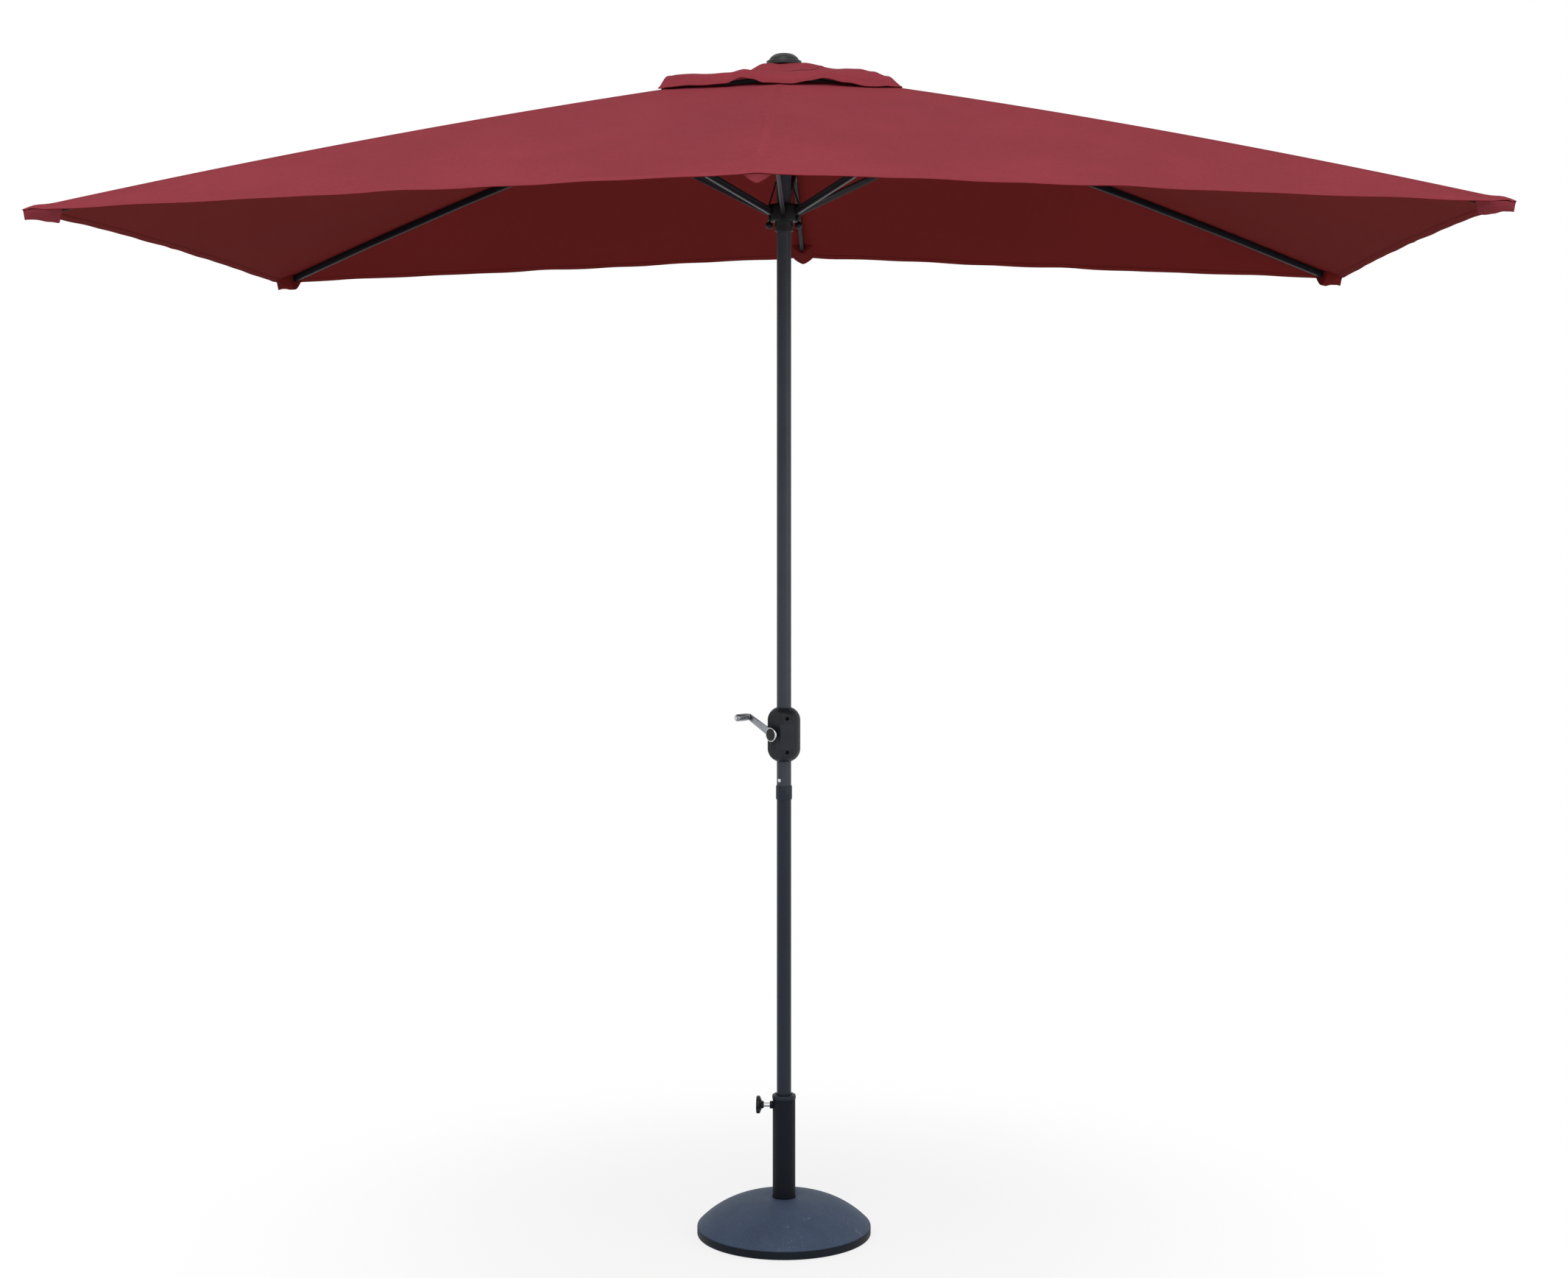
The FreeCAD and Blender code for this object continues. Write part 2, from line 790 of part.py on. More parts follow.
def capsule(name, inset, inner):
    """The housing's turned shape, drawn in by the inset, with its two flats."""
    half = f"(housing_height / 2 - ({inset}))"
    radius = f"(housing_radius - ({inset}))"
    blank = turned(
        f"{name}_round",
        [
            (inner, f"housing_middle - {half}"),
            (f"{inner} + 0.6", f"housing_middle - {half}"),
            (radius, f"housing_middle - {half} + housing_shoulder"),
            (radius, f"housing_middle + {half} - housing_shoulder"),
            (f"{inner} + 0.6", f"housing_middle + {half}"),
            (inner, f"housing_middle + {half}"),
        ],
        {1: "-housing_bulge", 3: "-housing_bulge"},
    )
    flats = []
    for side, angle, depth in (
        ("front", "housing_front_angle", "housing_front_flat"),
        ("crank", "crank_angle", "crank_flat"),
        ("rear", "housing_front_angle + 180", "housing_front_flat"),
    ):
        flat = housing_block(f"{name}_{side}_flat", "housing_radius")
        corner = Vector(size(f"{depth} - ({inset})"), -size("2 * housing_radius"), size(HOUSING_TOOL_BOTTOM))
        flat.Placement = around(size(angle), corner)
        flats.append(flat)
    return cut(name, blank, flats)


def housing_pieces():
    bore = "pole_radius + slip"
    hollow = capsule("housing_hollow", "housing_wall", "pole_radius")
    shell = cut("housing_shell", capsule("housing_outer", "0", bore), [hollow])
    middle = Vector(0, 0, size("crank_height"))
    screws = []
    for k, (label, turn) in enumerate((("housing_front", 0), ("housing_rear", 180))):
        angle = size("housing_front_angle") + turn
        half = housing_block(f"{label}_half", "2 * housing_radius")
        half.Placement = around(angle, Vector(0, -size("2 * housing_radius"), size(HOUSING_TOOL_BOTTOM)))
        side = common(f"{label}_side", shell, half)
        heights = [height for place, height in screw_places() if abs(place - angle) < 1]
        bosses, holes = [], []
        for j, height in enumerate(heights):
            out = polar(angle, 1)
            at = Vector(0, 0, height)
            seat = at + out * size("screw_seat")
            tall = f"housing_front_flat - housing_wall / 2 - {bore}"
            bosses.append(rod(f"{label}_boss_{j}", "boss_radius", tall, at + out * size(bore), out))
            holes.append(rod(f"{label}_recess_{j}", "boss_bore", "housing_radius", seat, out))
            holes.append(rod(f"{label}_bore_{j}", "screw_radius + slip", "housing_radius", at, out))
            head = rod(f"{label}_head_{j}", "screw_head_radius", "screw_head", seat, out)
            inside = "pole_radius - pole_wall - screw_tip"
            shank = rod(f"{label}_shank_{j}", "screw_radius", f"screw_seat - ({inside})",
                        at + out * size(inside), out)
            screws.append(join("Part::MultiFuse", f"{label}_screw_{j}", [head, shank]))
        whole = join("Part::MultiFuse", f"{label}_bossed", [side] + bosses)
        below = Vector(0, 0, size(HOUSING_TOOL_BOTTOM))
        holes.append(rod(f"{label}_clear", bore, HOUSING_TOOL_HEIGHT, below))
        if not turn:
            crank = polar(size("crank_angle"), 1)
            holes.append(rod("neck_hole", "crank_neck_radius + 0.5", "2 * housing_radius", middle, crank))
        part(label, cut(f"{label}_cut", whole, holes))
    part("housing_screws", join("Part::Compound", "shell_screws", screws))


# ---------------------------------------------------------------- crank
def facing_crank(thing, along=0.0):
    """Turns a piece built about Z so that its Z runs out along the crank's axis."""
    angle = size("crank_angle")
    thing.Placement = FreeCAD.Placement(
        Vector(0, 0, size("crank_height")) + polar(angle, 1) * along,
        Rotation(UP, angle) * Rotation(Vector(0, 1, 0), 90),
    )
    return thing


def crank_pieces():
    wall = "pole_radius - pole_wall"
    bushes = []
    for name, outer, inner, sign in (
        ("front_bush", "bush_radius", "shaft_radius + journal_play", 1),
        ("rear_bush", "rear_bush_radius", "rear_journal_radius + journal_play", -1),
    ):
        start = f"{sign} * ({wall} - bush_depth)"
        end = f"{sign} * ({wall} - bush_depth + bush_length)"
        bushes.append(facing_crank(tube(name, start, end, outer, inner)))
    part("spool_bushes", join("Part::Compound", "bushes", bushes))
    neck_start = f"{wall} - bush_depth + bush_length + neck_gap"
    rear_end = f"-({wall}) + bush_depth - bush_length - shaft_end"
    front_end = "crank_disc_reach - crank_disc_recess - crank_step"
    drum_end = "(drum_length / 2 + shaft_end)"
    shaft = turned(
        "shaft",
        [
            ("0", rear_end),
            ("rear_journal_radius", rear_end),
            ("rear_journal_radius", f"-{drum_end}"),
            ("drum_radius", f"-{drum_end}"),
            ("drum_radius", drum_end),
            ("shaft_radius", drum_end),
            ("shaft_radius", front_end),
            ("0", front_end),
        ],
    )
    part("spool_shaft", facing_crank(shaft))
    disc_back = "crank_disc_reach - crank_disc_thickness"
    face = "crank_disc_reach - crank_disc_recess"
    hub = turned(
        "hub_of_crank",
        [
            ("shaft_radius + slip / 2", neck_start),
            ("crank_neck_radius", neck_start),
            ("crank_neck_radius", f"{disc_back} - arm_thickness - crank_step"),
            ("crank_neck_radius + crank_step", f"{disc_back} - arm_thickness"),
            ("crank_neck_radius + crank_step", disc_back),
            ("crank_disc_radius", disc_back),
            ("crank_disc_radius", "crank_disc_reach - 0.8"),
            ("crank_disc_radius - 0.8", "crank_disc_reach"),
            ("crank_disc_radius - crank_disc_rim", "crank_disc_reach"),
            ("crank_disc_radius - crank_disc_rim", face),
            ("0", face),
            ("0", f"{face} - crank_web"),
            ("shaft_radius + slip / 2", f"{face} - crank_web"),
        ],
    )
    part("crank_hub", facing_crank(hub))
    arm = DOC.addObject("PartDesign::Body", "arm_bar")
    side = outline(
        arm, "XY_Plane", "arm_shape",
        [
            ("0", "-arm_root_width / 2"),
            ("arm_length", "-arm_end_width / 2"),
            ("arm_length", "arm_end_width / 2"),
            ("0", "arm_root_width / 2"),
        ],
        {1: "-arm_end_width / 2.2"},
    )
    pad = arm.newObject("PartDesign::Pad", "arm_pad")
    pad.Profile = side
    link(pad, Length="arm_thickness - 2 * slip")
    below = Vector(0, 0, -size("overshoot"))
    deep = "arm_thickness + 2 * overshoot"
    eye = rod("arm_eye", "crank_neck_radius + crank_step + slip", deep, below)
    ring = rod("arm_ring", "crank_disc_radius - crank_step", "arm_thickness - 2 * slip", ORIGIN)
    grip_end = Vector(size("arm_length"), 0, 0)
    pin_hole = rod("arm_pin_hole", "grip_pin_radius + slip / 2", deep, grip_end + below)
    bar = cut("arm_bored", join("Part::MultiFuse", "arm_whole", [arm, ring]), [eye, pin_hole])
    part("crank_arm", bar)
    # the arm's own X runs from the crank's axis to the grip: back and to the left, and up
    angle = size("crank_angle")
    sideways = polar(angle - 90, 1)
    lift = math.radians(size("arm_lift_angle"))
    reach = sideways * math.cos(lift) + UP * math.sin(lift)
    out = polar(angle, 1)
    turn = Rotation(reach, out.cross(reach), out, "ZXY")
    middle = Vector(0, 0, size("crank_height"))
    back = size(f"{disc_back} - arm_thickness + slip")
    bar.Placement = FreeCAD.Placement(middle + out * back, turn)
    end = middle + reach * size("arm_length")
    flange = "grip_pin_radius + grip_pin_flange"
    foot_start = end + out * (back - size("grip_pin_foot"))
    head_start = end + out * (back + size("arm_thickness + grip_length + grip_end_gap"))
    shank = "grip_pin_foot + arm_thickness + grip_length + grip_end_gap + grip_pin_head / 2"
    pin = join(
        "Part::MultiFuse", "grip_rivet",
        [
            rod("grip_pin_shank", "grip_pin_radius", shank, foot_start, out),
            rod("grip_pin_end", flange, "grip_pin_foot", foot_start, out),
            rod("grip_pin_cap", flange, "grip_pin_head", head_start, out),
        ],
    )
    part("grip_pin", pin)
    grip = turned(
        "grip_sleeve",
        [
            ("grip_pin_radius + journal_play", "0"),
            ("grip_radius - 2", "0"),
            ("grip_radius - 0.6", "3"),
            ("grip_radius - 0.6", "grip_length - 3"),
            ("grip_radius - 2.4", "grip_length"),
            ("grip_pin_radius + journal_play", "grip_length"),
        ],
        {2: "-0.6"},
    )
    start = end + out * (back + size("arm_thickness + grip_gap"))
    grip.Placement = FreeCAD.Placement(start, Rotation(UP, out))
    part("crank_grip", grip)


# ---------------------------------------------------------------- hub, finial and vent cap
def radial_slots(name, inner, outer, width, bottom, height):
    """One upright slot for each rib, cut from the inner radius outwards."""
    slots = []
    for rib in RIBS:
        slot = block(f"{name}_{rib}", f"{outer} - ({inner}) + overshoot", width, height, ORIGIN)
        slot.Placement = around(rib_azimuth(rib), Vector(size(inner), -size(width) / 2, size(bottom)))
        slots.append(slot)
    return slots


def tangent_pins(name, radius, length, reach, height):
    """One level pin across each rib's plane."""
    pins = []
    for rib in RIBS:
        angle = rib_azimuth(rib)
        across = polar(angle + 90, 1)
        middle = polar(angle, size(reach), size(height))
        pins.append(rod(f"{name}_{rib}", radius, length, middle - across * (size(length) / 2), across))
    return pins


def hub_pieces():
    bottom = "hub_pivot_height - hub_below"
    top = "hub_pivot_height + hub_above"
    blank = turned(
        "hub_blank",
        [
            ("pole_radius + slip", bottom),
            ("hub_radius - 3", bottom),
            ("hub_radius", f"{bottom} + 3"),
            ("hub_radius", f"{top} - 3"),
            ("hub_radius - 3", top),
            ("pole_radius + slip", top),
        ],
    )
    slots = radial_slots("hub_slot", "hub_core_radius", "hub_radius", "rib_width + 2 * side_play",
                         f"{bottom} - overshoot", "hub_below + hub_above - hub_roof + overshoot")
    place = ("hub_pivot_radius", "hub_pivot_height")
    holes = tangent_pins("hub_pin_hole", "pin_radius + slip / 2", "hub_pin_length + 2 * slip", *place)
    part("upper_hub", cut("slotted_hub", blank, slots + holes))
    pins = tangent_pins("hub_pin", "pin_radius", "hub_pin_length", *place)
    part("hub_pins", join("Part::Compound", "pins_of_hub", pins))
    base = "cap_top_height + slip"
    part(
        "finial",
        turned(
            "finial_cap",
            [
                ("stud_radius + slip / 2", base),
                ("finial_radius - 1", base),
                ("finial_radius", f"{base} + 1.5"),
                ("finial_radius", f"{base} + finial_edge - 1.5"),
                ("finial_radius - 1.5", f"{base} + finial_edge"),
                ("finial_tier_radius", f"{base} + finial_edge"),
                ("finial_tier_radius", f"{base} + finial_edge + finial_tier_height - 3"),
                ("finial_radius / 10", f"{base} + finial_edge + finial_tier_height + finial_dome"),
                ("0", f"{base} + finial_edge + finial_tier_height + finial_dome"),
                ("0", f"{base} + finial_edge + 8"),
                ("stud_radius + slip / 2", f"{base} + finial_edge + 8"),
            ],
            {6: "-5"},
        ),
    )
    stud_bottom = size("cap_top_height + finial_edge + 6 - stud_length")
    part("finial_stud", rod("stud", "stud_radius", "stud_length", Vector(0, 0, stud_bottom)))
    wedges = []
    for name, drop in (("cap_outer", 0.0), ("cap_inner", size("fabric_thickness"))):
        wedge = link(
            DOC.addObject("Part::Wedge", name),
            Xmin="-cap_length / 2", Xmax="cap_length / 2", Zmin="-cap_width / 2", Zmax="cap_width / 2",
            Ymin="0", Ymax="cap_top_height - cap_hem_height",
            X2min="-cap_top_length / 2", X2max="cap_top_length / 2",
            Z2min="-cap_top_width / 2", Z2max="cap_top_width / 2",
        )
        wedge.Placement = FreeCAD.Placement(
            Vector(0, 0, size("cap_hem_height") - drop), Rotation(Vector(1, 0, 0), 90)
        )
        wedges.append(wedge)
    below = Vector(0, 0, size("cap_top_height - fabric_thickness - overshoot"))
    eye = rod("cap_eye", "stud_radius + 2", "fabric_thickness + 2 * overshoot", below)
    part("vent_cap", cut("vent_cloth", wedges[0], [wedges[1], eye]))


# ---------------------------------------------------------------- runner and lift cord
def runner_pieces():
    pivot = "runner_pivot_height"
    bore = "pole_radius + runner_play"
    blank = turned(
        "runner_blank",
        [
            (bore, f"{pivot} - runner_below - runner_collar_length"),
            ("runner_collar_radius - 1.5", f"{pivot} - runner_below - runner_collar_length"),
            ("runner_collar_radius", f"{pivot} - runner_below - runner_collar_length + 2"),
            ("runner_collar_radius", f"{pivot} - runner_below"),
            ("runner_radius - 2", f"{pivot} - runner_below"),
            ("runner_radius", f"{pivot} - runner_below + 2"),
            ("runner_radius", f"{pivot} + runner_above - 4"),
            ("runner_radius - 4", f"{pivot} + runner_above"),
            (bore, f"{pivot} + runner_above"),
        ],
        {6: "-0.8"},
    )
    deep = "runner_above + runner_below + 2 * overshoot"
    tools = radial_slots("runner_slot", "runner_core_radius", "runner_radius", "strut_width + 2 * side_play",
                         f"{pivot} - runner_below - overshoot", deep)
    for k, side in enumerate((-1, 1)):
        at = Vector(side * size("cord_anchor_radius"), 0, size(f"{pivot} - runner_below - overshoot"))
        tools.append(rod(f"runner_cord_hole_{k}", "cord_hole_radius", deep, at))
    part("runner", cut("slotted_runner", blank, tools))
    beads = []
    for k, side in enumerate((-1, 1)):
        ball = link(DOC.addObject("Part::Sphere", f"bead_ball_{k}"), Radius="bead_radius")
        hanging = size(f"{pivot} - runner_below - bead_radius - slip")
        middle = Vector(side * size("cord_anchor_radius"), 0, hanging)
        ball.Placement.Base = middle
        below = middle - UP * size("bead_radius + overshoot")
        hole = rod(f"bead_hole_{k}", "cord_hole_radius", "2 * (bead_radius + overshoot)", below)
        beads.append(cut(f"bead_{k}", ball, [hole]))
    part("cord_beads", join("Part::Compound", "stop_beads", beads))


# between a cord's inner and outer runs, which are separate pieces
CORD_END_GAP = 0.05


def cord_along(points, radius):
    """A round cord along straight runs joined by tangent arcs; prints each arc's radius."""
    edges = []
    last = points[0]
    for before, corner, after in zip(points, points[1:], points[2:]):
        back = (before - corner).normalize()
        ahead = (after - corner).normalize()
        half = math.acos(max(-1.0, min(1.0, back.dot(ahead)))) / 2
        reach = 0.45 * min(before.distanceToPoint(corner), corner.distanceToPoint(after))
        bend = reach * math.tan(half)
        middle = corner + (back + ahead).normalize() * (bend / math.sin(half) - bend)
        start = corner + back * reach
        end = corner + ahead * reach
        if last.distanceToPoint(start) > 1e-6:
            edges.append(Part.LineSegment(last, start).toShape())
        edges.append(Part.Arc(start, middle, end).toShape())
        last = end
        print(f"cord bend radius {bend:.1f} mm")
    edges.append(Part.LineSegment(last, points[-1]).toShape())
    path = Part.Wire(edges)
    ring = Part.Wire(Part.Circle(points[0], points[1] - points[0], radius).toShape())
    solid = path.makePipeShell([ring], True, True)
    share = solid.Volume / (math.pi * radius**2 * path.Length)
    print(f"cord length {path.Length:.1f} mm, volume share {share:.4f}")
    return solid


def cord_pieces():
    """Two cords leave the drum on one side, rise inside the pole and turn out over their lips."""
    radius = size("cord_radius")
    exit_height = size("cord_exit_height")
    angle = size("crank_angle")
    lip = size("pole_radius - pole_wall / 2")
    turn = size("cord_lip") + radius
    inner, outer, lips = [], [], []
    for k, side in enumerate((-1, 1)):
        drum = polar(angle - 90, size("drum_radius") + radius, size("crank_height"))
        start = drum + polar(angle, side * size("cord_spacing") / 2)
        rise = Vector(side * (lip - turn), 0, exit_height)
        top = Vector(side * lip, 0, exit_height + turn)
        out = Vector(side * (lip + turn), 0, exit_height)
        line = Part.LineSegment(start, rise).toShape()
        bend = Part.Arc(rise, top, out).toShape()
        ring = Part.Wire(Part.Circle(start, rise - start, radius).toShape())
        run = Part.Wire([line]).makePipeShell([ring], True, False)
        loop = Part.Wire([bend]).makePipeShell(
            [Part.Wire(Part.Circle(rise, UP, radius).toShape())], True, False
        )
        inner.append(run.fuse(loop))
        anchor = size("cord_anchor_radius")
        flange = size("runner_pivot_height + runner_above")
        bottom = size("runner_pivot_height - runner_below - bead_radius")
        outer.append(cord_along(
            [
                out - UP * CORD_END_GAP,
                out - UP * size("cord_drop"),
                Vector(side * anchor, 0, flange + size("cord_knee_rise")),
                Vector(side * anchor, 0, bottom),
            ],
            radius,
        ))
        centre = Vector(side * lip, 0, exit_height + turn)
        lips.append(grommet(f"grommet_{k}", centre, side))
    part("lift_cord_inner", shaped("cord_inner", Part.makeCompound(inner)))
    part("lift_cord_outer", shaped("cord_outer", Part.makeCompound(outer)))
    part("cord_grommets", join("Part::Compound", "grommets", lips))


def grommet(name, centre, side):
    """A plastic eyelet pressed into one of the pole's cord holes."""
    wall = "(pole_wall / 2 + grommet_edge)"
    hole = "cord_radius + cord_hole_margin - slip"
    ring = tube(name, f"-{wall}", wall, hole, f"{hole} - grommet_wall")
    ring.Placement = FreeCAD.Placement(centre, Rotation(UP, Vector(side, 0, 0)))
    return ring


# ---------------------------------------------------------------- ribs, struts and canopy
def rib_frame(rib):
    """The placement of a rib's own frame: its origin on the hub pin, its X along the rib's chord."""
    numbers = KINDS[rib_kind(rib)]
    pitch = Rotation(Vector(0, 1, 0), numbers["angle"])
    place = around(rib_azimuth(rib), Vector(size("hub_pivot_radius"), 0, size("hub_pivot_height")))
    place.Rotation = place.Rotation * pitch
    return place


def bar_body(name, length, heel, height, width, bow):
    """A bar in its own frame, from the heel behind the first pin to its length, bowed upwards."""
    half = f"{height} / 2"
    corners = [(f"-{heel}", f"-{half}"), (length, f"-{half}"), (length, half), (f"-{heel}", half)]
    return padded(name, corners, width, {0: bow, 2: f"-({bow})"})


def cross_rod(name, radius, length, along=0.0):
    """A rod across a bar, centred on the bar at a place along it."""
    return rod(name, radius, length, Vector(along, size(length) / 2, 0), Vector(0, -1, 0))


def rib_pieces(rib):
    kind = rib_kind(rib)
    place = rib_frame(rib)
    length = f"{kind}_length"
    outer = bar_body(f"{rib}_rib_bar", length, "rib_heel", "rib_height", "rib_width", f"{kind}_bow")
    inner = bar_body(f"{rib}_rib_hollow", f"{length} - 2", "(rib_heel + 1)", "(rib_height - 2 * rib_wall)",
                     "rib_width - 2 * rib_wall", f"{kind}_bow")
    pin = cross_rod(f"{rib}_rib_eye", "pin_radius + pin_play", "rib_width + 2 * overshoot")
    bar = part(f"rib_{rib}", cut(f"{rib}_rib", outer, [inner, pin]))
    bar.Placement = place
    along = size(f"{kind}_pin_along")
    below = size(f"{kind}_pin_below")
    outside = "rib_width + 2 * (slip + bracket_cheek)"
    reach = size("bracket_length") / 2
    web_top = size("strut_pin_drop - rib_height / 2 - slip")
    saddle = block(f"{rib}_bracket_block", "bracket_length", outside, "strut_pin_drop + strut_height / 2",
                   Vector(-reach, -size(outside) / 2, -size("strut_height") / 2))
    start = -reach - size("overshoot")
    deep = "bracket_length + 2 * overshoot"
    rib_way = block(f"{rib}_bracket_rib_way", deep, "rib_width + 2 * slip", "2 * rib_height",
                    Vector(start, -size("rib_width / 2 + slip"), web_top))
    strut_way = block(f"{rib}_bracket_strut_way", deep, "strut_width + 2 * side_play", "2 * strut_height",
                      Vector(start, -size("strut_width / 2 + side_play"),
                             web_top - size("bracket_web + 2 * strut_height")))
    hole = cross_rod(f"{rib}_bracket_hole", "pin_radius + slip / 2", f"{outside} + 2 * overshoot")
    rivet = cross_rod(f"{rib}_bracket_pin", "pin_radius", outside)
    cheeks = cut(f"{rib}_bracket_cut", saddle, [rib_way, strut_way, hole])
    bracket = part(f"bracket_{rib}", join("Part::Compound", f"{rib}_bracket_set", [cheeks, rivet]))
    slope = math.degrees(math.atan2(4 * size(f"{kind}_bow") * (1 - 2 * along / size(length)), size(length)))
    tilt = FreeCAD.Placement(Vector(along, 0, -below), Rotation(Vector(0, 1, 0), -slope))
    bracket.Placement = place.multiply(tilt)
    strut = padded(
        f"{rib}_strut_bar",
        [
            ("0", "-strut_height / 2"),
            (f"{kind}_strut_length", "-strut_height / 2"),
            (f"{kind}_strut_length", "strut_height / 2"),
            ("0", "strut_height / 2"),
        ],
        "strut_width",
        {1: "-strut_height / 2.2", 3: "-strut_height / 2.2"},
    )
    eyes = [
        cross_rod(f"{rib}_strut_eye_{k}", "pin_radius + pin_play", "strut_width + 2 * overshoot", along)
        for k, along in enumerate((0, size(f"{kind}_strut_length")))
    ]
    link_bar = part(f"strut_{rib}", cut(f"{rib}_strut", strut, eyes))
    foot = Vector(size("runner_pivot_radius"), 0, size("runner_pivot_height"))
    strut_place = around(rib_azimuth(rib), foot)
    strut_place.Rotation = strut_place.Rotation * Rotation(Vector(0, 1, 0), -size(f"{kind}_strut_angle"))
    link_bar.Placement = strut_place


def ridge_height(kind, radius, rise):
    """Height of the cloth's top over a rib of this kind, at a distance from the pole."""
    numbers = KINDS[kind]
    angle = math.radians(numbers["angle"])
    heel = size("rib_heel")
    bow = size(f"{kind}_bow")
    chord = numbers["length"] + heel
    arc = (chord**2 / 4 + bow**2) / (2 * bow)
    # the arc's centre, in the rib's own frame and then in the upright plane through the rib
    along, down = chord / 2 - heel, arc - bow
    centre_out = size("hub_pivot_radius") + along * math.cos(angle) - down * math.sin(angle)
    centre_up = size("hub_pivot_height") - along * math.sin(angle) - down * math.cos(angle)
    return centre_up + math.sqrt((arc + rise) ** 2 - (radius - centre_out) ** 2)


def cloth_strip(first, second, raise_first, raise_second):
    """A strip of cloth between two bowed lines, as a solid one cloth thickness deep."""
    lines = []
    for (start, end), lift in ((first, raise_first), (second, raise_second)):
        middle = (start + end) * 0.5 + UP * lift
        lines.append(Part.Arc(start, middle, end).toShape())
    return Part.makeRuledSurface(lines[0], lines[1]).extrude(UP * -size("fabric_thickness"))


def canopy_sector(rib):
    """The cloth nearest one rib: from its ridge half way to the next rib on each side."""
    across, along = RIBS[rib]
    kind = rib_kind(rib)
    rise = size(f"{kind}_fabric_rise")
    half = Vector(size("canopy_length") / 2, size("canopy_width") / 2, 0)
    vent = Vector(size("vent_length") / 2, size("vent_width") / 2, 0)

    def ridge(a, b, place):
        name = "corner" if a else "middle"
        out = Vector(a * place.x, b * place.y, 0)
        lift = ridge_height(name, out.Length, size(f"{name}_fabric_rise"))
        return Vector(out.x, out.y, lift)

    own = (ridge(across, along, vent), ridge(across, along, half))
    middle = Vector((own[0].x + own[1].x) / 2, (own[0].y + own[1].y) / 2, 0)
    bow = ridge_height(kind, middle.Length, rise) - (own[0].z + own[1].z) / 2
    neighbours = [(0, along), (across, -along)] if across else [(-1, along), (1, along)]
    strips = []
    for other in neighbours:
        far = (ridge(*other, vent), ridge(*other, half))
        ends = []
        for mine, theirs in zip(own, far):
            step = (mine - theirs).normalize() * (size("seam_gap") / 2)
            ends.append((mine + theirs) * 0.5 + step)
        if other[0] == across:
            ends[1].z += size("side_hem_rise")
        strips.append(cloth_strip(own, ends, bow, size("panel_bow")))
    whole = strips[0].fuse(strips[1])
    part(f"canopy_{rib}", shaped(f"{rib}_cloth", whole.Solids[0] if len(whole.Solids) == 1 else whole))


# ---------------------------------------------------------------- the whole umbrella
def check_and_write():
    """Stops on a failed object or a bad shape, then writes one STEP file for each node."""
    for thing in DOC.Objects:
        if {"Invalid", "Error"} & set(thing.State):
            raise RuntimeError(f"{thing.Name} failed: {thing.State}")
    for thing in PARTS:
        if thing.Shape.isNull() or not thing.Shape.isValid() or not thing.Shape.Solids:
            raise RuntimeError(f"{thing.Label} has no good shape")
    os.makedirs("parts", exist_ok=True)
    for thing in PARTS:
        thing.Shape.exportStep(f"parts/{thing.Label}.step")
        box = thing.Shape.BoundBox
        print(f"{thing.Label}: {len(thing.Shape.Solids)} solids, {thing.Shape.Volume / 1000:.1f} cm3, "
              f"z {box.ZMin:.1f} to {box.ZMax:.1f}")


def main():
    base_pieces()
    clamp_pieces()
    pole_pieces()
    snap_button_pieces()
    housing_pieces()
    crank_pieces()
    hub_pieces()
    runner_pieces()
    cord_pieces()
    for rib in RIBS:
        rib_pieces(rib)
        canopy_sector(rib)
    DOC.recompute()
    check_and_write()
    for kind, numbers in KINDS.items():
        print(f"{kind} rib: " + ", ".join(f"{name} {value:.4f}" for name, value in numbers.items()))


main()
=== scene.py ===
"""Patio umbrella with base: the looks of every piece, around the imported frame.

The canopy is one tensioned surface over six ribs, worked out from the ribs' own curves.  It is cut half way
between the ribs, so that each sector goes with its rib when the umbrella closes.
"""

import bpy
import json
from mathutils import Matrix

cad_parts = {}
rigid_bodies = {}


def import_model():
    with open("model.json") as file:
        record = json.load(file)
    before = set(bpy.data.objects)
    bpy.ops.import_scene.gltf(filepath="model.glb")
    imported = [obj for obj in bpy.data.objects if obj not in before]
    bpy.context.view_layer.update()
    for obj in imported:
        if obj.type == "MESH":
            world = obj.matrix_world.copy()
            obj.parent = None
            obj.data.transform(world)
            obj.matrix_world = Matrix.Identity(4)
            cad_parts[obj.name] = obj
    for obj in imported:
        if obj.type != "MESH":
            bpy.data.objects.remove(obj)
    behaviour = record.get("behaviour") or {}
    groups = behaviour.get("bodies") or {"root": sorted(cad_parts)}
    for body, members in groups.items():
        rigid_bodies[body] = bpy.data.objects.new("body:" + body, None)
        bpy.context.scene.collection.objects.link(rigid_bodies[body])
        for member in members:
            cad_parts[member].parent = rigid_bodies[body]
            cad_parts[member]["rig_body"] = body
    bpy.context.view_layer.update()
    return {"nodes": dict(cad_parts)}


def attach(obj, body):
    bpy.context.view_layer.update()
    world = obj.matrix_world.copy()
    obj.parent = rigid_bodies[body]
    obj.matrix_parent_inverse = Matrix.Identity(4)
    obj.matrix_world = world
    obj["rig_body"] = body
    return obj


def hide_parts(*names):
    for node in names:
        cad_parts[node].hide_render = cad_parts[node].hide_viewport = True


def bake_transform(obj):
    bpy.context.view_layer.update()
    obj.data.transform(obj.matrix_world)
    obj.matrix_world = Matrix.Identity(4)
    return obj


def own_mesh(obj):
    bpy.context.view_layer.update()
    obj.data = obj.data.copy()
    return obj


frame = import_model()

import json
import math

import bmesh
import bpy
from mathutils import Matrix, Vector, noise

bl_info = {
    "name": "Patio Umbrella",
    "version": (1, 0, 0),
    "blender": (4, 5, 0),
    "location": "3D View > Sidebar > Umbrella",
    "description": "Builds a crank-lift patio umbrella standing in a round weighted base",
    "category": "Add Mesh",
}

